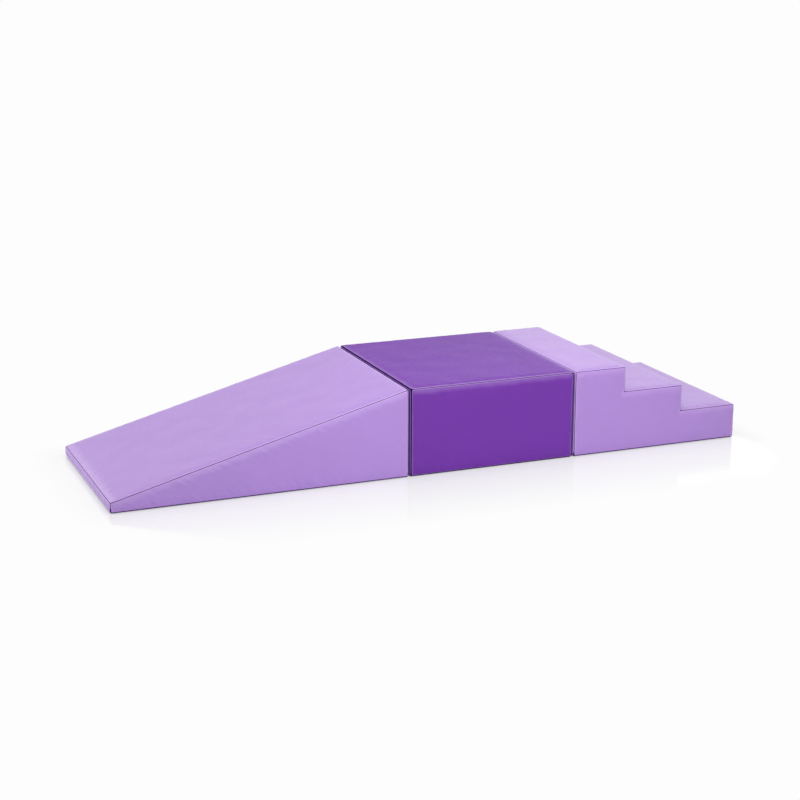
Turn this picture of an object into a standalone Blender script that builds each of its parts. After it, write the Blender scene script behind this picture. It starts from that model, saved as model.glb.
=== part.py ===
"""Soft play foam climber: a ramp, a block and three steps that stand in a row.

Each module is a foam core in a sewn leatherette cover. A cover panel is one sheet: its face is
slightly crowned, its edges roll over a small radius, and its seam allowances fold inwards along
the plane that halves the angle of the edge, where they lie against those of the next panel.
A module is built along +X from its own left end, centred on Y, standing on Z = 0.
"""

import math

import bmesh
import bpy
from mathutils import Vector

# The row, in metres
RAMP_LENGTH = 1.000
BLOCK_LENGTH = 0.600
STAIRS_LENGTH = 0.640
MODULE_WIDTH = 0.660
MODULE_HEIGHT = 0.300
LIP_HEIGHT = 0.035
TOP_TREAD_DEPTH = 0.195
MIDDLE_TREAD_DEPTH = 0.227
MIDDLE_STEP_HEIGHT = 0.213
LOWER_STEP_HEIGHT = 0.122

# Clearance between pieces that touch
TOUCH_GAP = 0.0003

# Sewn cover
CLOTH_THICKNESS = 0.0010
SEAM_CLEARANCE = 0.00025
SEAM_DEPTH = 0.0070
FOLD_RADIUS = 0.0020
CROWN = 0.0025
CROWN_RUN = 0.030
NARROW_RUN_SHARE = 0.4
ROLL_DEPTH_SHARES = (1.7, 1.3, 1.0, 0.5, 0.15, 0.0)
CROWN_RUN_SHARES = (0.12, 0.28, 0.5, 0.75, 1.0)

# Foam core
CORE_SEAM_CLEARANCE = 0.0006

# Hook and loop strips between the modules
STRIP_LENGTH = 0.500
STRIP_WIDTH = 0.050
STRIP_THICKNESS = 0.0025
STRIP_CORNER = 0.004
LOWER_STRIP_HEIGHT = 0.075
UPPER_STRIP_HEIGHT = 0.225

# Zip in the far side of each cover
ZIP_END_MARGIN = 0.070
ZIP_HEIGHT = 0.045
RAMP_ZIP_HEADROOM = 0.072
SLOT_WIDTH = 0.0120
SLOT_END_ROOM = 0.0060
TAPE_WIDTH = 0.0280
TAPE_THICKNESS = 0.0006
TAPE_END_ROOM = 0.0140
CHAIN_WIDTH = 0.0060
CHAIN_THICKNESS = 0.0022
CHAIN_ROUNDING = 0.0007
STOP_LENGTH = 0.0030
STOP_OVERHANG = 0.0006
STOP_ROUNDING = 0.0004

# Zip slider and its pull
SLIDER_LENGTH = 0.0115
SLIDER_WALL = 0.0013
SLIDER_PLATE = 0.0015
SLIDER_ROUNDING = 0.0004
BRIDGE_RADIUS = 0.0007
BRIDGE_REACH = 0.0036
BRIDGE_RISE = 0.0034
PULL_AXIS_RISE = 0.0014
PULL_LENGTH = 0.0260
PULL_THICKNESS = 0.0012
PULL_HEAD_WIDTH = 0.0058
PULL_WAIST_WIDTH = 0.0046
PULL_TIP_WIDTH = 0.0070
PULL_EYE_LENGTH = 0.0054
PULL_EYE_WIDTH = 0.0032
PULL_WAIST_SHARE = 0.42
PULL_TIP_SHARE = 0.9

# Facets of round forms
CORNER_STEPS = 4
ARCH_STEPS = 12

# Overrun of a cutter past the sheet that it cuts
CUT_OVERRUN = 0.0040

LILAC = (0.52, 0.36, 0.74, 1.0)
VIOLET = (0.19, 0.055, 0.38, 1.0)
FOAM = (0.86, 0.84, 0.76, 1.0)
LILAC_WEBBING = (0.44, 0.30, 0.66, 1.0)
VIOLET_WEBBING = (0.14, 0.04, 0.30, 1.0)
STEEL = (0.62, 0.62, 0.64, 1.0)

RIGHT_ANGLE_HALF = math.pi / 4


def clear_scene():
    """Empty the scene of objects."""
    for item in list(bpy.data.objects):
        bpy.data.objects.remove(item, do_unlink=True)


def new_collection(name):
    """A collection under the scene's own."""
    group = bpy.data.collections.new(name)
    bpy.context.scene.collection.children.link(group)
    return group


def finish_of(name, colour, roughness, metallic=0.0):
    """A material of the piece's own."""
    finish = bpy.data.materials.new(name + "_finish")
    finish.use_nodes = True
    shader = finish.node_tree.nodes["Principled BSDF"]
    shader.inputs["Base Color"].default_value = colour
    shader.inputs["Roughness"].default_value = roughness
    shader.inputs["Metallic"].default_value = metallic
    finish.diffuse_color = colour
    return finish


def put_object(name, data, group, parent, finish=None):
    """Link a mesh or curve as a named object under its parent."""
    item = bpy.data.objects.new(name, data)
    group.objects.link(item)
    item.parent = parent
    if finish:
        data.materials.append(finish)
    return item


def put_anchor(name, group, parent, place):
    """An empty that carries a module or a moving piece."""
    anchor = bpy.data.objects.new(name, None)
    group.objects.link(anchor)
    anchor.parent = parent
    anchor.location = place
    return anchor


def line_meeting(point_a, way_a, point_b, way_b):
    """Where two lines of the profile plane cross."""
    across = way_a[0] * way_b[1] - way_a[1] * way_b[0]
    step = Vector(point_b) - Vector(point_a)
    along = (step[0] * way_b[1] - step[1] * way_b[0]) / across
    return Vector(point_a) + along * Vector(way_a)


def edge_way(profile, index):
    """Unit direction of the profile edge that starts at this corner."""
    start = Vector(profile[index])
    end = Vector(profile[(index + 1) % len(profile)])
    return (end - start).normalized()


def inward(way):
    """Inward normal of an edge of a profile that runs anticlockwise."""
    return Vector((-way[1], way[0]))


def inset_profile(profile, inset):
    """The whole profile with every edge moved inwards."""
    corners = []
    for index in range(len(profile)):
        before = edge_way(profile, index - 1)
        after = edge_way(profile, index)
        on_before = Vector(profile[index]) + inset * inward(before)
        on_after = Vector(profile[index]) + inset * inward(after)
        corners.append(line_meeting(on_before, before, on_after, after))
    return corners


def half_angle_at(profile, index):
    """Half of the inner angle at a profile corner."""
    before = edge_way(profile, index - 1)
    after = edge_way(profile, index)
    turn = math.atan2(before[0] * after[1] - before[1] * after[0], before.dot(after))
    return (math.pi - turn) / 2


def fold_inset(depth, half_angle):
    """Distance from the true edge, in the face's plane, of the rolled sheet at a depth."""
    if depth >= FOLD_RADIUS * (1 + math.cos(half_angle)):
        return depth / math.tan(half_angle)
    roll = math.acos(1 - depth / FOLD_RADIUS)
    return FOLD_RADIUS / math.tan(half_angle / 2) - FOLD_RADIUS * math.sin(roll)


def sheet_levels(crown):
    """Rings of a panel from the end of its seam allowance to its flat middle."""
    levels = [(SEAM_DEPTH, 0.0)]
    levels += [(share * FOLD_RADIUS, 0.0) for share in ROLL_DEPTH_SHARES]
    if crown:
        levels += [(-crown * math.sin(share * math.pi / 2), share) for share in CROWN_RUN_SHARES]
    return levels


def level_inset(level, half_angle, crown_run):
    """Distance of a ring from the true edge, in the face's plane."""
    depth, share = level
    start = fold_inset(max(depth, 0.0), half_angle)
    return SEAM_CLEARANCE + start + share * (crown_run - start)


def crown_run_for(narrowest):
    """The crown rises over its own run, or over a share of a narrow face."""
    return min(CROWN_RUN, NARROW_RUN_SHARE * narrowest)


def strip_ring(profile, first, last, level, crown_run):
    """One ring of a panel that follows the profile from one seam corner to the next."""
    depth = level[0]
    side = MODULE_WIDTH / 2 - level_inset(level, RIGHT_ANGLE_HALF, crown_run)
    path = []
    for index in range(first, last + 1):
        corner = Vector(profile[index % len(profile)])
        before = edge_way(profile, (index - 1) % len(profile))
        after = edge_way(profile, index % len(profile))
        end_inset = level_inset(level, half_angle_at(profile, index % len(profile)), crown_run)
        if index == first:
            path.append(corner + end_inset * after + depth * inward(after))
        elif index == last:
            path.append(corner - end_inset * before + depth * inward(before))
        else:
            on_before = corner + depth * inward(before)
            on_after = corner + depth * inward(after)
            path.append(line_meeting(on_before, before, on_after, after))
    far_row = [Vector((point[0], side, point[1])) for point in path]
    near_row = [Vector((point[0], -side, point[1])) for point in reversed(path)]
    return far_row + near_row


def side_ring(profile, facing, level, crown_run):
    """One ring of a side panel, which has the whole profile as its outline."""
    inset = level_inset(level, RIGHT_ANGLE_HALF, crown_run)
    place = facing * (MODULE_WIDTH / 2 - level[0])
    ring = [Vector((corner[0], place, corner[1])) for corner in inset_profile(profile, inset)]
    return ring if facing < 0 else ring[::-1]


def loft_rings(name, rings, folds):
    """A sheet through all rings, closed across the innermost one."""
    sheet = bmesh.new()
    rows = [[sheet.verts.new(point) for point in ring] for ring in rings]
    count = len(rows[0])
    for outer, inner in zip(rows, rows[1:]):
        for index in range(count):
            follow = (index + 1) % count
            sheet.faces.new((outer[index], outer[follow], inner[follow], inner[index]))
    middle = rows[-1]
    if folds:
        for index in range(folds):
            mates = (count - 1 - index, count - 2 - index)
            sheet.faces.new((middle[index], middle[index + 1], middle[mates[1]], middle[mates[0]]))
    else:
        sheet.faces.new(middle)
    mesh = bpy.data.meshes.new(name)
    sheet.to_mesh(mesh)
    sheet.free()
    mesh.shade_smooth()
    mesh.set_sharp_from_angle(angle=math.radians(35))
    return mesh


def thicken(item):
    """Give a sheet its thickness, inwards from its outer face."""
    solid = item.modifiers.new("cloth", "SOLIDIFY")
    solid.thickness = CLOTH_THICKNESS
    solid.offset = -1.0
    solid.use_even_offset = True


def strip_panel(name, module, first, last, crown):
    """A cover panel over one or more edges of the profile."""
    profile = module["profile"]
    lengths = []
    for index in range(first, last):
        start = Vector(profile[index % len(profile)])
        lengths.append((Vector(profile[(index + 1) % len(profile)]) - start).length)
    crown_run = crown_run_for(min(lengths))
    rings = [strip_ring(profile, first, last, level, crown_run) for level in sheet_levels(crown)]
    mesh = loft_rings(name, rings, last - first)
    finish = finish_of(name, module["colour"], 0.45)
    panel = put_object(name, mesh, module["group"], module["anchor"], finish)
    thicken(panel)
    return panel


def side_panel(name, module, facing):
    """The near or the far panel of a module's cover."""
    crown_run = crown_run_for(module["narrowest"])
    levels = sheet_levels(CROWN)
    rings = [side_ring(module["profile"], facing, level, crown_run) for level in levels]
    mesh = loft_rings(name, rings, 0)
    finish = finish_of(name, module["colour"], 0.45)
    panel = put_object(name, mesh, module["group"], module["anchor"], finish)
    thicken(panel)
    return panel


def outline_curve(name, outlines, half_thickness):
    """A flat plate from closed outlines, the first round and any others as holes."""
    curve = bpy.data.curves.new(name, "CURVE")
    curve.dimensions = "2D"
    curve.fill_mode = "BOTH"
    curve.extrude = half_thickness
    for outline in outlines:
        spline = curve.splines.new("POLY")
        spline.points.add(len(outline) - 1)
        for point, corner in zip(spline.points, outline):
            point.co = (corner[0], corner[1], 0.0, 1.0)
        spline.use_cyclic_u = True
    return curve


def plate_mesh(name, outlines, half_thickness):
    """A flat plate as a welded mesh, its outline in XY and its thickness along Z."""
    curve = outline_curve(name, outlines, half_thickness)
    return welded_mesh(name, curve)


def welded_mesh(name, curve):
    """The mesh of a curve, with its caps joined to its walls."""
    carrier = bpy.data.objects.new(name + "_curve", curve)
    bpy.context.scene.collection.objects.link(carrier)
    bpy.context.view_layer.update()
    graph = bpy.context.evaluated_depsgraph_get()
    mesh = bpy.data.meshes.new_from_object(carrier.evaluated_get(graph))
    mesh.name = name
    bpy.data.objects.remove(carrier, do_unlink=True)
    bpy.data.curves.remove(curve)
    body = bmesh.new()
    body.from_mesh(mesh)
    bmesh.ops.remove_doubles(body, verts=body.verts, dist=TOUCH_GAP / 30)
    bmesh.ops.dissolve_limit(
        body, angle_limit=math.radians(1), verts=body.verts, edges=body.edges
    )
    bmesh.ops.recalc_face_normals(body, faces=body.faces)
    body.to_mesh(mesh)
    body.free()
    return mesh


def rounded_outline(length, width, radius):
    """A rectangle about the origin with round corners."""
    corners = []
    for quarter in range(4):
        turn = quarter * math.pi / 2
        across = 1 if quarter in (0, 3) else -1
        up = 1 if quarter in (0, 1) else -1
        for step in range(CORNER_STEPS + 1):
            angle = turn + step * math.pi / 2 / CORNER_STEPS
            x = across * (length / 2 - radius) + radius * math.cos(angle)
            y = up * (width / 2 - radius) + radius * math.sin(angle)
            corners.append((x, y))
    return corners


def stand_up(mesh):
    """Turn a plate drawn in XY to stand in the XZ plane, its thickness along Y."""
    turned = bmesh.new()
    turned.from_mesh(mesh)
    for vertex in turned.verts:
        x, y, z = vertex.co
        vertex.co = (x, -z, y)
    turned.to_mesh(mesh)
    turned.free()


def ease_edges(item, width, segments=2):
    """Round the edges of a small solid piece."""
    bevel = item.modifiers.new("eased_edges", "BEVEL")
    bevel.width = width
    bevel.segments = segments
    bevel.limit_method = "ANGLE"
    bevel.angle_limit = math.radians(40)


def core_chamfer(profile):
    """Width of the core's cut edges, which leave room for the folded seam allowances."""
    widest = 0.0
    depth = SEAM_DEPTH - CLOTH_THICKNESS - TOUCH_GAP
    for index in range(len(profile)):
        half_angle = half_angle_at(profile, index)
        if half_angle < math.pi / 2:
            along = depth / math.sin(half_angle) + CORE_SEAM_CLEARANCE
            widest = max(widest, along / math.cos(half_angle))
    return widest


def foam_core(name, module):
    """The foam body, with its outer edges cut back at the seams."""
    profile = module["profile"]
    inset = CLOTH_THICKNESS + TOUCH_GAP
    corners = inset_profile(profile, inset)
    mesh = plate_mesh(name, [corners], MODULE_WIDTH / 2 - inset)
    stand_up(mesh)
    core = bmesh.new()
    core.from_mesh(mesh)
    outer_edges = [edge for edge in core.edges if edge.is_convex]
    bmesh.ops.bevel(
        core, geom=outer_edges, offset=core_chamfer(profile), offset_type="OFFSET",
        segments=1, profile=0.5, affect="EDGES",
    )
    core.to_mesh(mesh)
    core.free()
    finish = finish_of(name, FOAM, 0.9)
    return put_object(name, mesh, module["group"], module["anchor"], finish)


def mating_strips(name, kind, module, place, facing):
    """Two hook or loop strips on a face that meets the next module."""
    outline = rounded_outline(STRIP_WIDTH, STRIP_LENGTH, STRIP_CORNER)
    middle = place + facing * (TOUCH_GAP + STRIP_THICKNESS / 2)
    heights = (("lower", LOWER_STRIP_HEIGHT), ("upper", UPPER_STRIP_HEIGHT))
    for level, height in heights:
        strip_name = f"{name}_{level}_{kind}_strip"
        mesh = plate_mesh(strip_name, [outline], STRIP_THICKNESS / 2)
        finish = finish_of(strip_name, module["webbing"], 0.95)
        strip = put_object(strip_name, mesh, module["group"], module["anchor"], finish)
        strip.location = (middle, 0.0, height)
        strip.rotation_euler = (0.0, math.pi / 2, 0.0)


def zip_faces():
    """Places along Y of the faces that the zip's pieces share."""
    cover = MODULE_WIDTH / 2 + CROWN
    tape_front = cover - CLOTH_THICKNESS - TOUCH_GAP
    chain_back = tape_front + TOUCH_GAP
    chain_front = chain_back + CHAIN_THICKNESS
    slider_back = chain_front + TOUCH_GAP
    return {
        "cover": cover,
        "tape_front": tape_front,
        "chain_back": chain_back,
        "chain_front": chain_front,
        "slider_back": slider_back,
        "slider_front": slider_back + SLIDER_PLATE,
    }


def plate_between(name, module, outline, back, front, place, colour, roughness, metallic=0.0):
    """A plate with its outline in XZ about a place, between two faces along Y."""
    mesh = plate_mesh(name, [outline], (front - back) / 2)
    stand_up(mesh)
    finish = finish_of(name, colour, roughness, metallic)
    item = put_object(name, mesh, module["group"], module["anchor"], finish)
    item.location = (place[0], (front + back) / 2, place[1])
    return item


def box_outline(length, width):
    """A plain rectangle about the origin."""
    across = length / 2
    up = width / 2
    return [(across, up), (-across, up), (-across, -up), (across, -up)]


def zip_slot(module, panel, middle, slot_length):
    """Cut the window for the zip out of the far panel."""
    faces = zip_faces()
    cutter_name = panel.name + "_slot"
    outline = rounded_outline(slot_length, SLOT_WIDTH, SLOT_WIDTH / 2 - TOUCH_GAP)
    half = (CLOTH_THICKNESS + CUT_OVERRUN) / 2
    mesh = plate_mesh(cutter_name, [outline], half)
    stand_up(mesh)
    cutter = put_object(cutter_name, mesh, module["cutters"], module["anchor"])
    cutter.location = (middle, faces["cover"] - CLOTH_THICKNESS / 2, ZIP_HEIGHT)
    cutter.hide_render = True
    cutter.display_type = "WIRE"
    window = panel.modifiers.new("zip_window", "BOOLEAN")
    window.operation = "DIFFERENCE"
    window.object = cutter


def zip_stops(module, middle, chain_length):
    """The two clips that end the chain."""
    faces = zip_faces()
    outline = box_outline(STOP_LENGTH, CHAIN_WIDTH + STOP_OVERHANG * 2)
    reach = chain_length / 2 + TOUCH_GAP + STOP_LENGTH / 2
    for end, side in (("open", -1), ("closed", 1)):
        stop = plate_between(
            f"{module['name']}_zip_{end}_stop", module, outline,
            faces["chain_back"], faces["chain_front"], (middle + side * reach, ZIP_HEIGHT),
            STEEL, 0.35, 1.0,
        )
        ease_edges(stop, STOP_ROUNDING, 1)


def bridge_mesh(name):
    """The wire arch over the slider, which holds the pull."""
    curve = bpy.data.curves.new(name, "CURVE")
    curve.dimensions = "3D"
    curve.bevel_depth = BRIDGE_RADIUS
    curve.bevel_resolution = 2
    curve.use_fill_caps = True
    spline = curve.splines.new("POLY")
    spline.points.add(ARCH_STEPS)
    for step, point in enumerate(spline.points):
        angle = math.pi * step / ARCH_STEPS
        rise = BRIDGE_RISE * math.sin(angle) - SLIDER_PLATE / 2 * (1 - math.sin(angle))
        point.co = (BRIDGE_REACH * math.cos(angle), rise, 0.0, 1.0)
    return welded_mesh(name, curve)


def zip_slider(name, module, rest):
    """The slider: a plate with two side walls that straddle the chain, and its bridge."""
    faces = zip_faces()
    inner = CHAIN_WIDTH / 2 + TOUCH_GAP
    outer = inner + SLIDER_WALL
    back = faces["chain_back"] - faces["slider_front"]
    under = faces["slider_back"] - faces["slider_front"]
    section = [
        (0.0, outer), (back, outer), (back, inner), (under, inner),
        (under, -inner), (back, -inner), (back, -outer), (0.0, -outer),
    ]
    mesh = plate_mesh(name, [section], SLIDER_LENGTH / 2)
    turned = bmesh.new()
    turned.from_mesh(mesh)
    for vertex in turned.verts:
        x, y, z = vertex.co
        vertex.co = (z, x, y)
    bmesh.ops.recalc_face_normals(turned, faces=turned.faces)
    turned.to_mesh(mesh)
    turned.free()
    finish = finish_of(name, STEEL, 0.3, 1.0)
    slider = put_object(name, mesh, module["group"], module["anchor"], finish)
    slider.location = (rest, faces["slider_front"], ZIP_HEIGHT)
    ease_edges(slider, SLIDER_ROUNDING, 1)
    arch_name = name + "_bridge"
    arch = put_object(arch_name, bridge_mesh(arch_name), module["cutters"], module["anchor"])
    arch.location = slider.location
    arch.hide_render = True
    arch.display_type = "WIRE"
    join = slider.modifiers.new("bridge", "BOOLEAN")
    join.operation = "UNION"
    join.object = arch
    return slider


def pull_outline():
    """The pull's outline along -X from its hinge end, narrow at the waist and wide at the tip."""
    start = PULL_THICKNESS / 2
    waist = start - PULL_WAIST_SHARE * PULL_LENGTH
    wide = start - PULL_TIP_SHARE * PULL_LENGTH
    end = start - PULL_LENGTH
    head = PULL_HEAD_WIDTH / 2
    neck = PULL_WAIST_WIDTH / 2
    tip = PULL_TIP_WIDTH / 2
    round_tip = []
    for step in range(CORNER_STEPS + 1):
        angle = math.pi * step / CORNER_STEPS - math.pi / 2
        x = wide - (wide - end) * math.cos(angle)
        round_tip.append((x, -tip * math.sin(angle)))
    eye_end = start - PULL_THICKNESS - PULL_EYE_LENGTH
    upper = [(start, head), (eye_end, head), (waist, neck)]
    lower = [(waist, -neck), (eye_end, -head), (start, -head)]
    return upper + round_tip + lower


def zip_pull(name, module, rest):
    """The pull tab, whose end bar turns under the slider's bridge."""
    faces = zip_faces()
    near_end = -PULL_THICKNESS / 2
    far_end = near_end - PULL_EYE_LENGTH
    side = PULL_EYE_WIDTH / 2
    eye = [(near_end, side), (far_end, side), (far_end, -side), (near_end, -side)]
    mesh = plate_mesh(name, [pull_outline(), eye], PULL_THICKNESS / 2)
    stand_up(mesh)
    finish = finish_of(name, STEEL, 0.3, 1.0)
    pull = put_object(name, mesh, module["group"], module["anchor"], finish)
    pull.location = (rest, faces["slider_front"] + PULL_AXIS_RISE, ZIP_HEIGHT)
    return pull


def zip_fastener(module, far_panel, open_end, closed_end):
    """All pieces of one module's zip; its slider rests at the closed end."""
    name = module["name"]
    faces = zip_faces()
    chain_length = closed_end - open_end
    middle = (open_end + closed_end) / 2
    zip_slot(module, far_panel, middle, chain_length + 2 * SLOT_END_ROOM)
    tape_length = chain_length + 2 * TAPE_END_ROOM
    tape_back = faces["tape_front"] - TAPE_THICKNESS
    place = (middle, ZIP_HEIGHT)
    plate_between(
        name + "_zip_tape", module, box_outline(tape_length, TAPE_WIDTH),
        tape_back, faces["tape_front"], place, module["webbing"], 0.9,
    )
    chain = plate_between(
        name + "_zip_chain", module, box_outline(chain_length, CHAIN_WIDTH),
        faces["chain_back"], faces["chain_front"], place, module["webbing"], 0.5,
    )
    ease_edges(chain, CHAIN_ROUNDING)
    zip_stops(module, middle, chain_length)
    rest = closed_end - SLIDER_LENGTH / 2
    zip_slider(name + "_zip_slider", module, rest)
    zip_pull(name + "_zip_pull", module, rest)


def make_ramp(module):
    """The ramp: lip on the left, mating face on the right."""
    foam_core("ramp_foam_core", module)
    strip_panel("ramp_base_panel", module, 0, 1, 0.0)
    strip_panel("ramp_back_panel", module, 1, 2, 0.0)
    strip_panel("ramp_slide_panel", module, 2, 3, CROWN)
    strip_panel("ramp_lip_panel", module, 3, 4, CROWN)
    side_panel("ramp_near_panel", module, -1)
    far_panel = side_panel("ramp_far_panel", module, 1)
    mating_strips("ramp", "hook", module, RAMP_LENGTH, 1)
    slope = (MODULE_HEIGHT - LIP_HEIGHT) / RAMP_LENGTH
    open_end = (ZIP_HEIGHT + RAMP_ZIP_HEADROOM - LIP_HEIGHT) / slope
    zip_fastener(module, far_panel, open_end, RAMP_LENGTH - ZIP_END_MARGIN)


def make_block(module):
    """The block, which meets the ramp on its left and the stairs on its right."""
    foam_core("block_foam_core", module)
    strip_panel("block_base_panel", module, 0, 1, 0.0)
    strip_panel("block_stairs_side_panel", module, 1, 2, 0.0)
    strip_panel("block_top_panel", module, 2, 3, CROWN)
    strip_panel("block_ramp_side_panel", module, 3, 4, 0.0)
    side_panel("block_near_panel", module, -1)
    far_panel = side_panel("block_far_panel", module, 1)
    mating_strips("block_ramp_side", "loop", module, 0.0, -1)
    mating_strips("block_stairs_side", "loop", module, BLOCK_LENGTH, 1)
    zip_fastener(module, far_panel, ZIP_END_MARGIN, BLOCK_LENGTH - ZIP_END_MARGIN)


def make_stairs(module):
    """The stairs; a step's tread and the riser behind it are one folded panel."""
    foam_core("stairs_foam_core", module)
    strip_panel("stairs_base_panel", module, 0, 1, 0.0)
    strip_panel("stairs_front_riser_panel", module, 1, 2, CROWN)
    strip_panel("stairs_lower_step_panel", module, 2, 4, CROWN)
    strip_panel("stairs_middle_step_panel", module, 4, 6, CROWN)
    strip_panel("stairs_top_tread_panel", module, 6, 7, CROWN)
    strip_panel("stairs_back_panel", module, 7, 8, 0.0)
    side_panel("stairs_near_panel", module, -1)
    far_panel = side_panel("stairs_far_panel", module, 1)
    mating_strips("stairs", "hook", module, 0.0, -1)
    zip_fastener(module, far_panel, ZIP_END_MARGIN, STAIRS_LENGTH - ZIP_END_MARGIN)


def ramp_profile():
    """The wedge, anticlockwise from the foot of its lip."""
    return [(0.0, 0.0), (RAMP_LENGTH, 0.0), (RAMP_LENGTH, MODULE_HEIGHT), (0.0, LIP_HEIGHT)]


def block_profile():
    """The block's rectangle."""
    return [(0.0, 0.0), (BLOCK_LENGTH, 0.0), (BLOCK_LENGTH, MODULE_HEIGHT), (0.0, MODULE_HEIGHT)]


def stairs_profile():
    """The flight, high on the left."""
    lower_nose = TOP_TREAD_DEPTH + MIDDLE_TREAD_DEPTH
    return [
        (0.0, 0.0), (STAIRS_LENGTH, 0.0), (STAIRS_LENGTH, LOWER_STEP_HEIGHT),
        (lower_nose, LOWER_STEP_HEIGHT), (lower_nose, MIDDLE_STEP_HEIGHT),
        (TOP_TREAD_DEPTH, MIDDLE_STEP_HEIGHT), (TOP_TREAD_DEPTH, MODULE_HEIGHT),
        (0.0, MODULE_HEIGHT),
    ]


def main():
    """Build the row about its own middle."""
    clear_scene()
    parts = new_collection("soft_play_foam_climber")
    cutters = new_collection("cutters")
    module_gap = 2 * STRIP_THICKNESS + 3 * TOUCH_GAP
    row_length = RAMP_LENGTH + BLOCK_LENGTH + STAIRS_LENGTH + 2 * module_gap
    ramp_start = -row_length / 2
    block_start = ramp_start + RAMP_LENGTH + module_gap
    stairs_start = block_start + BLOCK_LENGTH + module_gap
    step_rises = (
        LOWER_STEP_HEIGHT,
        MIDDLE_STEP_HEIGHT - LOWER_STEP_HEIGHT,
        MODULE_HEIGHT - MIDDLE_STEP_HEIGHT,
    )
    plans = (
        ("ramp", ramp_start, ramp_profile(), LIP_HEIGHT, LILAC, LILAC_WEBBING, make_ramp),
        ("block", block_start, block_profile(), MODULE_HEIGHT, VIOLET, VIOLET_WEBBING, make_block),
        ("stairs", stairs_start, stairs_profile(), min(step_rises), LILAC, LILAC_WEBBING,
         make_stairs),
    )
    for name, start, profile, narrowest, colour, webbing, make in plans:
        module = {
            "name": name,
            "profile": profile,
            "narrowest": narrowest,
            "colour": colour,
            "webbing": webbing,
            "group": parts,
            "cutters": cutters,
            "anchor": put_anchor(name + "_module", parts, None, (start, 0.0, 0.0)),
        }
        make(module)


main()
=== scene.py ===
# %% [markdown]
# # A soft play foam climber
# Three padded modules stand in a row: a lilac ramp, a deep violet block and a lilac flight of
# three steps. Each is a foam body in a cover of leatherette, which is cut in flat panels and sewn
# along every edge. This lesson dresses the measured model of the row with covers, seams, zips and
# light, so that it looks like the real one in a studio.
#
# The measured model is loaded first. It is never moved: each new piece is built round it.

# %% Load the measured model
import math
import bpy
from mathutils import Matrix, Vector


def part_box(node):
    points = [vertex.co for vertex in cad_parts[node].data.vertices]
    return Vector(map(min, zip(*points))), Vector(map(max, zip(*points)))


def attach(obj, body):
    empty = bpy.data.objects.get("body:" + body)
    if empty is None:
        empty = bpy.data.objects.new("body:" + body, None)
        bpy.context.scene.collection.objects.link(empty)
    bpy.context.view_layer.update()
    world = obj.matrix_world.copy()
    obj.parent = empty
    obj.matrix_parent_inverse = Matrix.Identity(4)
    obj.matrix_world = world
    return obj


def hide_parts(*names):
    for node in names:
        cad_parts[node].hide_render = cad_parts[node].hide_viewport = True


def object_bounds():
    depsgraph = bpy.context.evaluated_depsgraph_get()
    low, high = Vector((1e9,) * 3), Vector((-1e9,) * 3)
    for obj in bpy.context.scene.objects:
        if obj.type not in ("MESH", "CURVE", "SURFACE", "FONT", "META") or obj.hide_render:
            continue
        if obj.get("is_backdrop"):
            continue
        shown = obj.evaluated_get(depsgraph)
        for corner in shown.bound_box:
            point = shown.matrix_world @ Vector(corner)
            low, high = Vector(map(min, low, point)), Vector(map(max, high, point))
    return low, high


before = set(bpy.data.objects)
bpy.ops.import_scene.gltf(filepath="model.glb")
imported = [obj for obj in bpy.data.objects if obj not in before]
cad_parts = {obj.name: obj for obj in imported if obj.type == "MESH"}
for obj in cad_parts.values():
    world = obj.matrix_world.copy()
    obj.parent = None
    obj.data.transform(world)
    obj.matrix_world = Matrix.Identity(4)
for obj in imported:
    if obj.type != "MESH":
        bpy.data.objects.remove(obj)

from types import SimpleNamespace

import bmesh
import bpy
import numpy as np
from mathutils import Matrix, Vector

cad_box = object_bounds()
print("nodes:", len(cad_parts))
print("model size in mm:", [round(1000 * v, 1) for v in cad_box[1] - cad_box[0]])

# %% [markdown]
# ## The camera
# The picture that this scene matches was taken from the left, a little above the row, with a long
# lens. A long lens keeps parallel edges nearly parallel. The camera comes first, because each
# later choice of detail depends on how large a piece is in the picture.

# %% Place the camera
# Lengths are in metres and angles in radians. The sensor and the lens are in millimetres.
PICTURE = 800
FOCAL_PIXELS = 1734.8
SHIFT_PIXELS = -1.0
SENSOR = 36.0
CAMERA_PLACE = Vector((-2.232, -5.361, 1.765))
CAMERA_YAW = 0.391
CAMERA_PITCH = 0.268
CAMERA_ROLL = 0.003


def in_scene(name, data):
    """A new object, put in the scene."""
    made = bpy.data.objects.new(name, data)
    bpy.context.scene.collection.objects.link(made)
    return made


forward = Vector((
    math.sin(CAMERA_YAW) * math.cos(CAMERA_PITCH),
    math.cos(CAMERA_YAW) * math.cos(CAMERA_PITCH),
    -math.sin(CAMERA_PITCH),
))
level_right = Vector((math.cos(CAMERA_YAW), -math.sin(CAMERA_YAW), 0.0))
level_up = level_right.cross(forward)
right = level_right * math.cos(CAMERA_ROLL) + level_up * math.sin(CAMERA_ROLL)
upward = level_up * math.cos(CAMERA_ROLL) - level_right * math.sin(CAMERA_ROLL)

lens = bpy.data.cameras.new("studio_camera")
lens.sensor_width = SENSOR
lens.lens = FOCAL_PIXELS / PICTURE * lens.sensor_width
lens.shift_y = SHIFT_PIXELS / PICTURE
camera = in_scene("studio_camera", lens)
turned = Matrix((right, upward, -forward)).transposed().to_4x4()
camera.matrix_world = Matrix.Translation(CAMERA_PLACE) @ turned
bpy.context.scene.camera = camera
print("lens in mm:", round(lens.lens, 2))

# %% [markdown]
# ## Measuring the modules
# All places are taken from the measured model. A foam body lies a little inside its cover, so the
# cover's true faces are the foam's box plus the thickness of the cloth and a hair of play. The
# corners of the steps come from the folded step panels, whose seam allowances reach a known depth
# behind their faces.

# %% Measure the modules
CLOTH = 0.0010
FOAM_PLAY = 0.0013
SEAM_DEPTH = 0.0070
LIP_HEIGHT = 0.035


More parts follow.
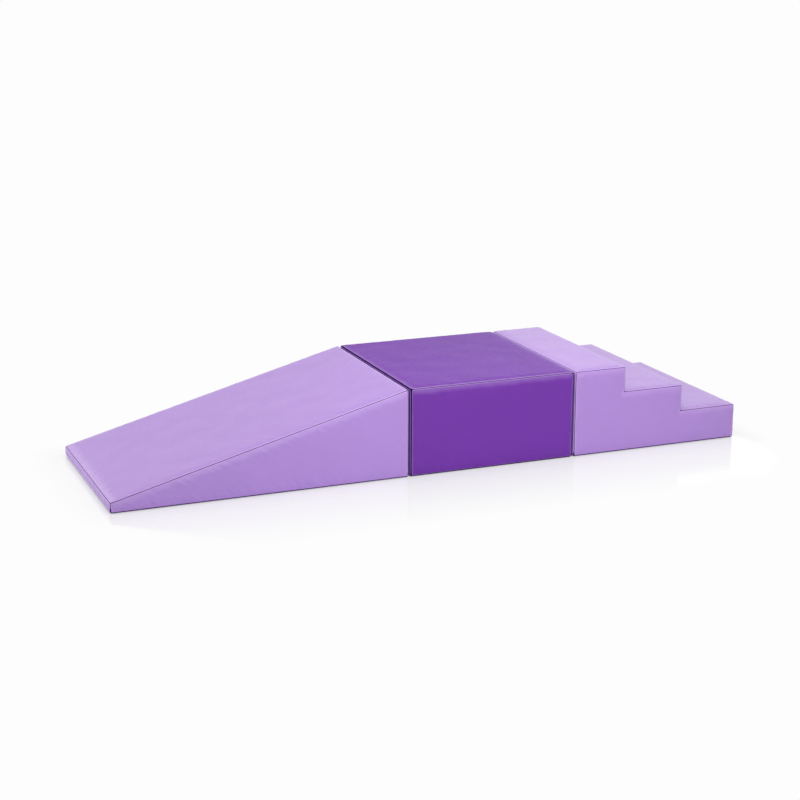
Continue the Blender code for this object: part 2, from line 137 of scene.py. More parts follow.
def module_faces(name):
    """The true faces of a module's cover."""
    low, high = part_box(name + "_foam_core")
    return {
        "left": low.x - FOAM_PLAY, "right": high.x + FOAM_PLAY,
        "near": low.y - FOAM_PLAY, "far": high.y + FOAM_PLAY,
    }


faces_of = {name: module_faces(name) for name in ("ramp", "block", "stairs")}
FULL_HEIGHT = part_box("block_foam_core")[1].z + FOAM_PLAY
WIDTH = faces_of["block"]["far"] - faces_of["block"]["near"]
FAR = faces_of["block"]["far"]
for name, face in faces_of.items():
    print(name, "is", round(1000 * (face["right"] - face["left"]), 1), "mm long")


def inner_corner(panel):
    """The corner between a tread and the riser behind it."""
    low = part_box(panel)[0]
    return low.x + SEAM_DEPTH, low.z + SEAM_DEPTH


upper_corner = inner_corner("stairs_middle_step_panel")
lower_corner = inner_corner("stairs_lower_step_panel")
print("step heights in mm:", round(1000 * lower_corner[1], 1), round(1000 * upper_corner[1], 1))

# %% Profiles of the modules
# A profile runs anticlockwise, seen from the near side, and starts at the module's left foot.


def profile_of(name):
    """Corners of a module's profile in X and Z."""
    left, right_end = faces_of[name]["left"], faces_of[name]["right"]
    if name == "stairs":
        return [
            (left, 0.0), (right_end, 0.0), (right_end, lower_corner[1]), lower_corner,
            (lower_corner[0], upper_corner[1]), upper_corner, (upper_corner[0], FULL_HEIGHT),
            (left, FULL_HEIGHT),
        ]
    front_height = LIP_HEIGHT if name == "ramp" else FULL_HEIGHT
    return [(left, 0.0), (right_end, 0.0), (right_end, FULL_HEIGHT), (left, front_height)]


def pairs_round(corners):
    """Each corner of a closed outline with the next one."""
    return zip(corners, corners[1:] + corners[:1])


def half_angle(profile, index):
    """Half of the inner angle at a corner of a profile."""
    before = np.subtract(profile[index], profile[index - 1])
    after = np.subtract(profile[(index + 1) % len(profile)], profile[index])
    turn = math.atan2(before[0] * after[1] - before[1] * after[0], float(before @ after))
    return (math.pi - turn) / 2


profiles = {name: profile_of(name) for name in faces_of}
for name, profile in profiles.items():
    angles = [round(2 * math.degrees(half_angle(profile, k))) for k in range(len(profile))]
    print(name, "has corners of", angles, "degrees")

# %% [markdown]
# ## Leatherette
# The covers are a knitted cloth with a coat of soft vinyl. Close to, it has a fine pebbled grain.
# From further off, its colour drifts by a few hundredths over a hand's length, where the foam
# below pushes more or less. Its sheen is broad and low, and dies out in the creases of the seams.
# Each panel carries an attribute for its seams: it rises to 1 at the start of the roll, which is
# painted paler, partly as wear and partly as a painted highlight, and goes on above 1 down into the
# crease, which is painted darker as shade.
#
# The grain could be an image, but noise in the object's own space fits every panel, whatever its
# size, and needs no unwrapping.

# %% Helpers for node trees
# A finish and a growing rule are both trees of nodes, so one helper adds a node to either.


def feed(tree, node, inputs):
    """Give inputs of a node a value each, or the socket of another node."""
    for key, value in inputs.items():
        if isinstance(value, bpy.types.NodeSocket):
            tree.links.new(value, node.inputs[key])
        elif value is not None:
            node.inputs[key].default_value = value


def add(tree, kind, inputs=None, out=0, **settings):
    """Add a node with its settings and inputs, and return one of its outputs."""
    node = tree.nodes.new(kind)
    for name, value in settings.items():
        setattr(node, name, value)
    feed(tree, node, inputs or {})
    return node.outputs[out]


def reckon(tree, operation, *values):
    """One sum of numbers or sockets."""
    return add(tree, "ShaderNodeMath", dict(enumerate(values)), operation=operation)


def noise(tree, space, scale, detail, roughness=0.5):
    """A noise texture in the object's own space."""
    inputs = {"Vector": space, "Scale": scale, "Detail": detail, "Roughness": roughness}
    return add(tree, "ShaderNodeTexNoise", inputs, "Fac")


def span(tree, value, low, high, to_low=0.0, to_high=1.0):
    """Map a value from one span to another, held at the ends."""
    inputs = {"From Min": low, "From Max": high, "To Min": to_low, "To Max": to_high}
    return add(tree, "ShaderNodeMapRange", {"Value": value, **inputs}, "Result")


def blend_colours(tree, share, first, second):
    """Mix two colours, or two sockets, by a share."""
    return add(tree, "ShaderNodeMix", {"Factor": share, 6: first, 7: second}, 2, data_type="RGBA")


def bump(tree, height, strength, distance, under=None):
    """Turn a height into small relief, on top of another relief if there is one."""
    inputs = {"Strength": strength, "Distance": distance, "Height": height, "Normal": under}
    return add(tree, "ShaderNodeBump", inputs, "Normal")


def shade(colour, share):
    """A colour made darker or paler by a share."""
    return tuple(min(1.0, channel * share) for channel in colour[:3]) + (1.0,)


def new_material(name):
    """A material, its tree, and a socket for the object's own space."""
    material = bpy.data.materials.new(name)
    material.use_nodes = True
    tree = material.node_tree
    return material, tree, add(tree, "ShaderNodeTexCoord", out="Object")


def surfaced(material, inputs):
    """The same material, with inputs of its surface shader set."""
    feed(material.node_tree, material.node_tree.nodes["Principled BSDF"], inputs)
    return material


# %% Leatherette in lilac and in violet
GRAIN_PER_METRE = 620
SPECKLE_PER_METRE = 95
DRIFT_PER_METRE = 6.5
# A pale tint near the seams: partly wear, partly a painted highlight on the rolled edges.
PALE_WEAR_AND_HIGHLIGHT = (0.82, 0.60, 1.0)
PALE_WEAR_AND_HIGHLIGHT_SHARE = 0.38
FLECK_SHARE = 0.10
FLECK_SHADE = 0.8
# Painted shade in the creases: a deep tint of the cloth's own colour.
CREASE_SHADE = 0.45
CREASE_DEPTH = 1.7
# Marks are values of the seam attribute between which a change takes place.
WEAR_AND_HIGHLIGHT_MARKS = (0.4, 1.0)
PAINTED_BEAD_MARKS = (1.0, 1.15)
GLEAM_MARKS = (1.60, 2.05)
CREASE_MARKS = (1.70, 2.05)


def leatherette(name, colour, drift, wear_and_highlight_share, painted_bead_share, gloss, ior):
    """Vinyl-coated cloth: grain, slow colour drift, painted highlights on rolls, painted crease
    shade.
    """
    material, tree, space = new_material(name)
    seam = add(tree, "ShaderNodeAttribute", out="Fac", attribute_name="seam_nearness")
    slow = span(tree, noise(tree, space, DRIFT_PER_METRE, detail=3.0), 0.3, 0.7)
    speckle = noise(tree, space, SPECKLE_PER_METRE, detail=4.0, roughness=0.6)
    body = blend_colours(tree, slow, shade(colour, 1 - drift), shade(colour, 1 + drift))
    fleck = span(tree, speckle, 0.35, 0.65, 0.0, FLECK_SHARE)
    body = blend_colours(tree, fleck, body, shade(colour, FLECK_SHADE))
    # Paler near the seam (wear and painted highlight), palest on the roll itself (painted
    # highlight).
    wear_and_highlight_band = span(tree, seam, *WEAR_AND_HIGHLIGHT_MARKS, 0.0, wear_and_highlight_share)
    painted_bead_band = span(tree, seam, *PAINTED_BEAD_MARKS, 0.0, painted_bead_share - wear_and_highlight_share)
    paler = tuple(
        (1 - PALE_WEAR_AND_HIGHLIGHT_SHARE) * channel + PALE_WEAR_AND_HIGHLIGHT_SHARE * pale
        for channel, pale in zip(colour, PALE_WEAR_AND_HIGHLIGHT)
    )
    body = blend_colours(tree, reckon(tree, "ADD", wear_and_highlight_band, painted_bead_band), body, paler + (1.0,))
    # Painted shade: the crease darkens towards a deep tint of the cloth.
    painted_crease_shade = span(tree, seam, *CREASE_MARKS)
    painted_crease_colour = tuple(CREASE_SHADE * channel ** CREASE_DEPTH for channel in colour[:3])
    body = blend_colours(tree, painted_crease_shade, body, painted_crease_colour + (1.0,))
    pebble = add(tree, "ShaderNodeTexVoronoi", {
        "Vector": space, "Scale": GRAIN_PER_METRE, "Randomness": 0.9,
    }, "Distance")
    soft = bump(tree, speckle, strength=0.25, distance=0.0006)
    return surfaced(material, {
        "Base Color": body,
        "Roughness": reckon(tree, "MAXIMUM", span(tree, speckle, 0.3, 0.7, *gloss), painted_crease_shade),
        "Specular IOR Level": span(tree, seam, *GLEAM_MARKS, 0.5, 0.0),
        "IOR": ior,
        "Normal": bump(tree, pebble, strength=0.20, distance=0.00025, under=soft),
    })


LEATHERETTE = {
    "lilac": leatherette(
        "lilac_leatherette", (0.440, 0.250, 0.685, 1.0), drift=0.025, wear_and_highlight_share=0.35, painted_bead_share=0.9,
        gloss=(0.30, 0.40), ior=1.57,
    ),
    "violet": leatherette(
        "violet_leatherette", (0.162, 0.027, 0.368, 1.0), drift=0.035, wear_and_highlight_share=0.30, painted_bead_share=0.9,
        gloss=(0.44, 0.54), ior=1.35,
    ),
}
print("leatherettes:", [material.name for material in LEATHERETTE.values()])

# %% [markdown]
# ## Foam, thread, webbing, pile and metal
# Foam is a pale cream sponge with open cells. Sewing thread, pile and zip teeth are nylon in
# slanting bands of two close tones, and the thread is the dullest of them. Zip tape and the
# backing of the hook and loop strips are woven, so two crossed waves give them a warp and a weft.
# The metal of the zip is plated, with fine brush marks.

# %% The other finishes
# Along an axis, a wave texture turns by 20 radians a metre for each unit of its scale. One that
# runs diagonally turns by half of that along each axis. So a weave of 1100 repeats in 5.7 mm.
RADIANS_PER_SCALE = 20
PORES_PER_METRE = 480
BRUSH_PER_METRE = 2600
WEAVE_RADIANS = 1100


def foam_sponge():
    """Open-cell foam: round pores, painted darker as shade, over a cream body."""
    material, tree, space = new_material("cream_foam")
    inputs = {"Vector": space, "Scale": PORES_PER_METRE}
    cells = add(tree, "ShaderNodeTexVoronoi", inputs, "Distance")
    pores = span(tree, cells, 0.1, 0.6)
    # The pores are painted darker, as the shade that falls in them.
    return surfaced(material, {
        "Base Color": blend_colours(tree, pores, (0.62, 0.58, 0.44, 1), (0.84, 0.81, 0.68, 1)),
        "Roughness": 0.92,
        "Normal": bump(tree, cells, strength=0.6, distance=0.0008),
    })


def bands_in(tree, space, radians, direction, distortion=0.0):
    """Even parallel bands, as a wave that turns by so many radians a metre."""
    scale = radians / RADIANS_PER_SCALE
    inputs = {"Vector": space, "Scale": scale, "Distortion": distortion}
    return add(tree, "ShaderNodeTexWave", inputs, "Fac", bands_direction=direction)


def woven(name, colour):
    """A plain weave: two crossed waves raise the warp and the weft in turn."""
    material, tree, space = new_material(name)
    warp, weft = (bands_in(tree, space, WEAVE_RADIANS, axis, 0.4) for axis in "YZ")
    cross = reckon(tree, "MULTIPLY", warp, weft)
    return surfaced(material, {
        "Base Color": blend_colours(tree, cross, shade(colour, 0.82), shade(colour, 1.12)),
        "Roughness": 0.85,
        "Normal": bump(tree, cross, strength=0.5, distance=0.0003),
    })


def banded(name, colour, roughness, radians, gleam=0.5):
    """Nylon: slanting bands of two close tones."""
    material, tree, space = new_material(name)
    bands = bands_in(tree, space, radians, "DIAGONAL")
    return surfaced(material, {
        "Base Color": blend_colours(tree, bands, shade(colour, 0.85), shade(colour, 1.1)),
        "Roughness": roughness,
        "Specular IOR Level": gleam,
        "Normal": bump(tree, bands, strength=0.3, distance=0.0001),
    })


def plated_metal():
    """Bright plated zip metal with faint brush marks."""
    material, tree, space = new_material("plated_zip_metal")
    drawn_out = add(tree, "ShaderNodeMapping", {"Vector": space, "Scale": (0.08, 1.0, 1.0)})
    marks = noise(tree, drawn_out, BRUSH_PER_METRE, detail=3.0)
    return surfaced(material, {
        "Base Color": blend_colours(tree, marks, (0.55, 0.55, 0.57, 1), (0.70, 0.70, 0.71, 1)),
        "Roughness": span(tree, marks, 0.3, 0.7, 0.22, 0.36),
        "Metallic": 1.0,
        "Normal": bump(tree, marks, strength=0.1, distance=0.00005),
    })


cream_foam = foam_sponge()
zip_metal = plated_metal()
webbing = {
    "lilac": woven("lilac_zip_tape", (0.40, 0.265, 0.62, 1)),
    "violet": woven("violet_zip_tape", (0.13, 0.04, 0.28, 1)),
}
pile = {
    "lilac": banded("lilac_nylon_pile", (0.42, 0.28, 0.64, 1), 0.55, 900),
    "violet": banded("violet_nylon_pile", (0.13, 0.04, 0.29, 1), 0.6, 900),
}
thread = {
    "lilac": banded("lilac_thread", (0.25, 0.10, 0.50, 1), 0.6, 1500, 0.15),
    "violet": banded("violet_thread", (0.080, 0.012, 0.22, 1), 0.6, 1500, 0.15),
}
teeth_nylon = {
    "lilac": banded("lilac_zip_teeth", (0.43, 0.29, 0.66, 1), 0.35, 700),
    "violet": banded("violet_zip_teeth", (0.15, 0.05, 0.32, 1), 0.35, 700),
}
TONE = {"ramp": "lilac", "block": "violet", "stairs": "lilac"}
print("finishes:", len(bpy.data.materials))

# %% [markdown]
# ## How a sewn edge is shaped
# Two panels are sewn face to face and turned over, so at each edge both roll inwards over a small
# radius and meet in a crease along the plane that halves the edge's angle. The stitches lie down
# in that crease. A panel is therefore a tray: its outermost ring is the end of the seam allowance,
# deep inside, and the next rings climb round the roll until they reach the face.

# %% The seam's rings
ROLL = 0.0024
SEAM_PLAY = 0.00025
SQUARE = math.pi / 4
ROLL_TURNS = (140, 120, 102, 86, 70, 55, 40, 26, 13)
RING_DEPTHS = [SEAM_DEPTH] + [ROLL * (1 - math.cos(math.radians(turn))) for turn in ROLL_TURNS]


def seam_inset(depth, half):
    """How far the cloth lies from the true edge, along the face, at a depth below the face."""
    if depth >= ROLL * (1 + math.cos(half)):
        return SEAM_PLAY + depth / math.tan(half)
    turn = math.acos(1 - depth / ROLL)
    return SEAM_PLAY + ROLL / math.tan(half / 2) - ROLL * math.sin(turn)


print("a face starts", round(1000 * seam_inset(0.0, SQUARE), 2), "mm inside its square edge")

# %% [markdown]
# ## Charts
# A chart says where a point of the flat cut lies. Its two numbers run from 0 to 1 across the panel,
# and a third says how deep the ring is, because each ring has its own distance from the edge. Most
# panels are rectangles. The ramp's sides taper, and the sides of the stairs are a staircase, whose
# marks all shift by the same inset.

# %% Charts for the three kinds of panel


def four_sided_chart(length, start_half, end_half):
    """Chart of a panel that runs along the profile, as wide as the module."""
    def at(a, b, depth):
        start, end = seam_inset(depth, start_half), seam_inset(depth, end_half)
        side = seam_inset(depth, SQUARE)
        return start + a * (length - start - end), side + b * (WIDTH - 2 * side)
    return at


def tapered_chart(profile):
    """Chart of a side with four corners: the block's is level, and the ramp's climbs."""
    length = profile[1][0] - profile[0][0]
    low_end, high_end = profile[3][1], profile[2][1]
    slope = (high_end - low_end) / length
    def at(a, b, depth):
        inset = seam_inset(depth, SQUARE)
        along = inset + a * (length - 2 * inset)
        top = low_end + slope * along - inset * math.hypot(1.0, slope)
        return along, inset + b * (top - inset)
    return at


def staircase_chart(profile):
    """Chart of the side of the stairs, marked at every step."""
    left = profile[0][0]
    steps = np.array([0.0, profile[5][0] - left, profile[3][0] - left, profile[1][0] - left])
    rises = np.array([0.0, profile[2][1], profile[4][1], profile[6][1]])
    def at(a, b, depth):
        inset = seam_inset(depth, SQUARE)
        shift = np.array([inset, -inset, -inset, -inset])
        along = np.interp(a, steps / steps[-1], steps + shift)
        return along, np.interp(b, rises / rises[-1], rises + shift)
    return at


# %% Places in the room for the points of a chart
STEP_FOLD = 0.005


def flat_place(start, end, far):
    """Places for a flat panel along one edge of the profile."""
    along = Vector((end[0] - start[0], 0.0, end[1] - start[1])).normalized()
    outward = Vector((0.0, 1.0, 0.0)).cross(along)
    origin = np.array((start[0], far, start[1]))
    def place(s, t, out):
        points = origin + np.outer(s, along) + np.outer(out, outward)
        points[:, 1] -= t
        return points
    return place


def side_place(left, facing, near, far):
    """Places for a side panel, whose chart runs along X and up Z."""
    def place(s, t, out):
        plane = far if facing > 0 else near
        return np.column_stack((left + s, plane + facing * out, t))
    return place


def folded_place(nose, corner, far):
    """Places for a tread that turns up into the riser behind it, over a small hollow fold."""
    tread = abs(nose[0] - corner[0])
    def place(s, t, out):
        turn = np.clip((s - tread + STEP_FOLD) / (2 * STEP_FOLD), 0, 1) * math.pi / 2
        centre_x, centre_z = corner[0] + STEP_FOLD, corner[1] + STEP_FOLD
        run = np.maximum(tread - STEP_FOLD - s, 0)
        climb = np.maximum(s - tread - STEP_FOLD, 0)
        x = centre_x - (STEP_FOLD - out) * np.sin(turn) + run
        z = centre_z - (STEP_FOLD - out) * np.cos(turn) + climb
        return np.column_stack((x, far - t, z))
    return place


print("a step folds over a", 1000 * STEP_FOLD, "mm hollow")

# %% [markdown]
# ## The grid of a panel
# A panel's face is a grid of small four-sided cells. Its lines run through every corner of the
# outline, so that the outline follows the lines and each ring of the seam can start from the same
# points. A grid is quick to make and smooth to shade, and its regular cells bend evenly.

# %% Lines, cells and the rim of a grid
# Cells are fine on panels that show, and coarse on panels that are pressed flat.
FINE = 0.0055
COARSE = 0.012
UNIT = [(0.0, 0.0), (1.0, 0.0), (1.0, 1.0), (0.0, 1.0)]


def grid_lines(marks, length, spacing):
    """Line positions from 0 to 1 through all marks, about as far apart as the spacing."""
    lines = [0.0]
    for low, high in zip(marks, marks[1:]):
        count = max(1, round((high - low) * length / spacing))
        lines.extend(low + (high - low) * (k + 1) / count for k in range(count))
    return np.array(lines)


def is_inside(a, b, outline):
    """Whether a point lies inside an outline of upright and level edges."""
    inside = False
    for (a0, b0), (a1, b1) in pairs_round(outline):
        if (b0 > b) != (b1 > b) and a < a0:
            inside = not inside
    return inside


def rim_of(a_lines, b_lines, outline):
    """Grid nodes along the outline, anticlockwise."""
    rim = []
    for (a0, b0), (a1, b1) in pairs_round(outline):
        i0, i1 = (int(np.abs(a_lines - a).argmin()) for a in (a0, a1))
        j0, j1 = (int(np.abs(b_lines - b).argmin()) for b in (b0, b1))
        if i0 == i1:
            rim.extend((i0, j) for j in range(j0, j1, 1 if j1 > j0 else -1))
        else:
            rim.extend((i, j0) for i in range(i0, i1, 1 if i1 > i0 else -1))
    return rim


def grid_over(outline, size, spacing, marks=()):
    """A grid inside an outline: its lines, its numbered nodes, its rim and its cells."""
    a_lines = grid_lines(sorted({a for a, _ in outline} | set(marks)), size[0], spacing)
    b_lines = grid_lines(sorted({b for _, b in outline}), size[1], spacing)
    a_middles, b_middles = (a_lines[:-1] + a_lines[1:]) / 2, (b_lines[:-1] + b_lines[1:]) / 2
    cells = [
        (i, j) for i, a in enumerate(a_middles) for j, b in enumerate(b_middles)
        if is_inside(a, b, outline)
    ]
    nodes = sorted({(i + di, j + dj) for i, j in cells for di in (0, 1) for dj in (0, 1)})
    number = {node: k for k, node in enumerate(nodes)}
    i_nodes, j_nodes = np.array(nodes).T
    return SimpleNamespace(
        a_lines=a_lines, b_lines=b_lines, at_nodes=(i_nodes, j_nodes),
        a=a_lines[i_nodes], b=b_lines[j_nodes],
        rim=[number[node] for node in rim_of(a_lines, b_lines, outline)],
        quads=[
            (number[i, j], number[i + 1, j], number[i + 1, j + 1], number[i, j + 1])
            for i, j in cells
        ],
    )


block_length = faces_of["block"]["right"] - faces_of["block"]["left"]
trial = grid_over(UNIT, (block_length, WIDTH), FINE)
print("the top of the block has", len(trial.quads), "cells")

# %% [markdown]
# ## Loose cloth
# A cover is cut slightly larger than it would be if it were painted on, so the cloth between the
# seams is never quite still: it lies in long, low swells. They could be noise, but swells that
# come from cloth turn with the panel's shape and die out at its seams. So each visible panel but
# the ramp's low lip is laid flat, pinned along its rim, given a little more cloth than room, and
# let settle for some frames. What it settles into is kept, less its overall bulge, and scaled to
# under a millimetre.

# %% Let a panel settle
SETTLE_SPACING = 0.017
SETTLE_FRAMES = 16
FIRST_PUSH = 0.0012
EXTRA_CLOTH = 0.006
SETTLE_CLOTH = {
    "quality": 6, "mass": 0.4, "tension_stiffness": 25, "compression_stiffness": 25,
    "shear_stiffness": 12, "bending_stiffness": 0.6, "air_damping": 3.0,
    "shrink_min": -EXTRA_CLOTH, "vertex_group_mass": "seams",
}
SWELL_CAP = 0.0009
SWELL_PERCENTILE = 97
LEAST_SWELL = 1e-6
FINE_BLUR = 1
WIDE_BLUR = 5


def settled_heights(name, chart, outline, size, seed):
    """Simulate a flat pinned panel and return its grid and its heights."""
    grid = grid_over(outline, size, SETTLE_SPACING)
    s, t = chart(grid.a, grid.b, 0.0)
    push = np.random.default_rng(seed).normal(0.0, FIRST_PUSH, len(s))
    push[grid.rim] = 0.0
    mesh = bpy.data.meshes.new(name + "_cut")
    mesh.from_pydata(np.column_stack((s, t, push)).tolist(), [], grid.quads)
    cloth = in_scene(name + "_cut", mesh)
    pinned = cloth.vertex_groups.new(name="seams")
    pinned.add(grid.rim, 1.0, "REPLACE")
    modifier = cloth.modifiers.new("settle", "CLOTH")
    for setting, value in SETTLE_CLOTH.items():
        setattr(modifier.settings, setting, value)
    modifier.settings.effector_weights.gravity = 0.0
    modifier.point_cache.frame_start = 1
    modifier.point_cache.frame_end = SETTLE_FRAMES
    for step in range(1, SETTLE_FRAMES + 1):
        bpy.context.scene.frame_set(step)
    graph = bpy.context.evaluated_depsgraph_get()
    result = cloth.evaluated_get(graph).to_mesh()
    flat = np.zeros(len(s) * 3)
    result.vertices.foreach_get("co", flat)
    cloth.evaluated_get(graph).to_mesh_clear()
    bpy.data.objects.remove(cloth, do_unlink=True)
    bpy.data.meshes.remove(mesh)
    bpy.context.scene.frame_set(1)
    heights = np.zeros((len(grid.a_lines), len(grid.b_lines)))
    heights[grid.at_nodes] = flat.reshape(-1, 3)[:, 2]
    return grid, heights


def local_mean(values, reach):
    """A blurred copy, from a running mean both ways."""
    blurred = values.copy()
    rows, columns = values.shape
    for axis in (0, 1):
        total = np.zeros_like(blurred)
        for step in range(-reach, reach + 1):
            moved = np.roll(np.pad(blurred, reach, mode="edge"), step, axis=axis)
            total += moved[reach:reach + rows, reach:reach + columns]
        blurred = total / (2 * reach + 1)
    return blurred


def cell_and_share(lines, places):
    """The cell that each place lies in, and its share of the way across the cell."""
    cell = np.clip(np.searchsorted(lines, places) - 1, 0, len(lines) - 2)
    return cell, (places - lines[cell]) / (lines[cell + 1] - lines[cell])


def swells(name, chart, outline, size, seed):
    """The low swells of a settled panel, ready to be read at any point of its chart."""
    grid, heights = settled_heights(name, chart, outline, size, seed)
    low = local_mean(heights, FINE_BLUR) - local_mean(heights, WIDE_BLUR)
    low *= SWELL_CAP / max(float(np.percentile(np.abs(low), SWELL_PERCENTILE)), LEAST_SWELL)
    low = np.clip(low, -SWELL_CAP, SWELL_CAP)
    print(name, "settled by up to", round(1000 * float(np.abs(heights).max()), 1), "mm")
    def read(a, b):
        i, u = cell_and_share(grid.a_lines, a)
        j, v = cell_and_share(grid.b_lines, b)
        lower = low[i, j] * (1 - u) + low[i + 1, j] * u
        upper = low[i, j + 1] * (1 - u) + low[i + 1, j + 1] * u
        return lower * (1 - v) + upper * v
    return read


print("swells stay under", 1000 * SWELL_CAP, "mm")

# %% [markdown]
# ## The relief of a face
# Three things shape a face. The foam under it pushes it out a little, so it climbs quickly from
# its seams and is nearly flat in its middle. The swells of the loose cloth ride on that. Where the
# thread gathers the cloth, short slanting puckers run from the seam and fade within a hand's
# width, and the roll itself wanders by a fraction of a millimetre.

# %% Crown, puckers and wandering rolls
CROWN = 0.0030
FAR_CROWN = 0.0025
CROWN_RUN = 0.027
PUCKER = 0.00050
PUCKER_REACH = 0.0120
PUCKER_SLANT = 0.9
PUCKER_WAVES = (0.020, 0.065)
CROWN_SHARE = 0.4
RIPPLES = 6
SEED_STEP = 31
# A roll wanders along its seam, and the thread gathers it more tightly. Each row has a height,
# its reach from the seam, its shortest and longest wave, and a step to a seed of its own.
ROLL_RIPPLES = ((0.00028, 0.008, 0.030, 0.140, 500), (0.00022, 0.004, 0.016, 0.045, 900))


def ripple(along, shortest, longest, seed):
    """A steady random ripple of waves whose lengths lie between two bounds."""
    random = np.random.default_rng(seed)
    total = np.zeros_like(along)
    for length in np.geomspace(shortest, longest, RIPPLES):
        total += np.sin(2 * math.pi * (along / length + random.random()) + random.random())
    return total / RIPPLES ** 0.5


def to_edge(s, t, start, end):
    """Distance from an edge of the chart, and the way along it."""
    way = np.subtract(end, start)
    length = math.hypot(*way)
    way = way / length
    along = np.clip((s - start[0]) * way[0] + (t - start[1]) * way[1], 0, length)
    return np.hypot(s - start[0] - along * way[0], t - start[1] - along * way[1]), along


def relief(s, t, corners, size, crown, pucker, seed):
    """Height of a face at points of its chart, without the swells, and its gap to its seams."""
    loose = 1.0 if pucker > 0 else 0.0
    run = min(CROWN_RUN, CROWN_SHARE * min(size))
    lift = np.full_like(s, crown)
    extra = np.zeros_like(s)
    gaps = []
    for index, (start, end) in enumerate(pairs_round(corners)):
        gap, along = to_edge(s, t, start, end)
        lift *= 1 - (1 - np.clip(gap / run, 0, 1)) ** 2
        rise = gap / PUCKER_REACH * np.exp(1 - gap / PUCKER_REACH)
        key = seed * SEED_STEP + index
        extra += pucker * rise * ripple(along + PUCKER_SLANT * gap, *PUCKER_WAVES, key)
        extra += loose * sum(
            most * np.exp(-gap / reach) * ripple(along, shortest, longest, key + step)
            for most, reach, shortest, longest, step in ROLL_RIPPLES
        )
        gaps.append(gap)
    return lift + extra, np.array(gaps)


# %% [markdown]
# ## Building a cover panel
# The face's grid is placed first. Then the rings of the seam follow, from the end of the allowance
# up round the roll to the rim of the face. Solidify gives the cloth its thickness inwards, away
# from the light, so the outer face stays where it was drawn.
#
# Near its seams a face is painted paler, most on the tops and the slide's low end: partly wear
# from hands and knees, partly a painted highlight where the rolled edges catch the light. Down
# into the crease the rolls are painted darker as shade, faster at the seams on the floor and in
# the mouths of the gaps between modules. A table lists the seams at the gaps by panel, each with
# the axis and the end of it that the seam lies at, and with how fast its painted shade darkens
# inwards, where 1 is a plain seam.

# %% Build one panel
SWELL_RISE = 0.02
FOLD_REACH = 0.03
FOLD_SHARE = 0.25
SHARP_TURN = math.radians(50)
# Reach and strength of the pale band by the seams: partly wear, partly a painted highlight.
WEAR_AND_HIGHLIGHT_REACH = 0.008
TOP_WEAR_AND_HIGHLIGHT_REACH = 0.015
EVEN_WEAR_AND_HIGHLIGHT = (1.0, WEAR_AND_HIGHLIGHT_REACH)
PATCHINESS = 0.12
PATCH_WAVES = (0.05, 0.30)
# How fast a crease's painted shade darkens: faster at the floor seams and at the gaps.
FLOOR_SEAM = 0.015
FLOOR_PAINTED_SHADE_RATE = 5.0
SEAM_BAND = 0.004
SEAM_PAINTED_SHADE_RATE = {
    "ramp_near_panel": [(0, 1, 4.0)],
    "ramp_far_panel": [(0, 1, 4.0)],
    "block_near_panel": [(0, 1, 8.0), (0, -1, 7.0)],
    "block_far_panel": [(0, 1, 8.0), (0, -1, 7.0)],
    "block_stairs_side_panel": [(1, -1, 1.6), (1, 1, 1.6)],
    "block_ramp_side_panel": [(1, -1, 1.6), (1, 1, 1.6), (2, 1, 4.0)],
    "block_top_panel": [(0, -1, 2.5)],
    "stairs_back_panel": [(2, 1, 0.6)],
    "stairs_top_tread_panel": [(0, -1, 0.6)],
}


def ordered_faces(grid, flip):
    """Faces of the grid and of the rings, all turned outwards."""
    quads = list(grid.quads)
    first, count = len(grid.a), len(grid.rim)
    loops = [[first + ring * count + k for k in range(count)] for ring in range(len(RING_DEPTHS))]
    loops.append(grid.rim)
    for outer, inner in zip(loops, loops[1:]):
        for (o, o_next), (i, i_next) in zip(pairs_round(outer), pairs_round(inner)):
            quads.append((o, o_next, i_next, i))
    return [quad[::-1] for quad in quads] if flip else quads


def thickened(piece, thickness):
    """Give a sheet its thickness, behind the face that was drawn."""
    wall = piece.modifiers.new("cloth", "SOLIDIFY")
    wall.thickness = thickness
    wall.offset = -1.0
    return wall


def wear_and_painted_light_of(label, s, t, gaps, wear_and_highlight_by_edge, rim_points, seed):
    """The seam attribute: pale wear and painted highlight on the face, painted shade in the rings.
    """
    nearness = np.zeros_like(s)
    patchy = 1 + PATCHINESS * ripple(s + t, *PATCH_WAVES, seed)
    for gap, (pale_strength, reach) in zip(gaps, wear_and_highlight_by_edge):
        nearness = np.maximum(nearness, pale_strength * patchy * np.exp(-gap / reach))
    nearness = np.minimum(nearness, 1.0)
    # The rings carry painted shade, darkening faster at the floor seams and at the gaps.
    painted_shade_rate = np.where(rim_points[:, 2] < FLOOR_SEAM, FLOOR_PAINTED_SHADE_RATE, 1.0)
    for axis, end, more in SEAM_PAINTED_SHADE_RATE.get(label, ()):
        way = end * rim_points[:, axis]
        painted_shade_rate = np.where(way > way.max() - SEAM_BAND, more, painted_shade_rate)
    return np.concatenate([nearness] + [1 + painted_shade_rate * depth / ROLL for depth in RING_DEPTHS])


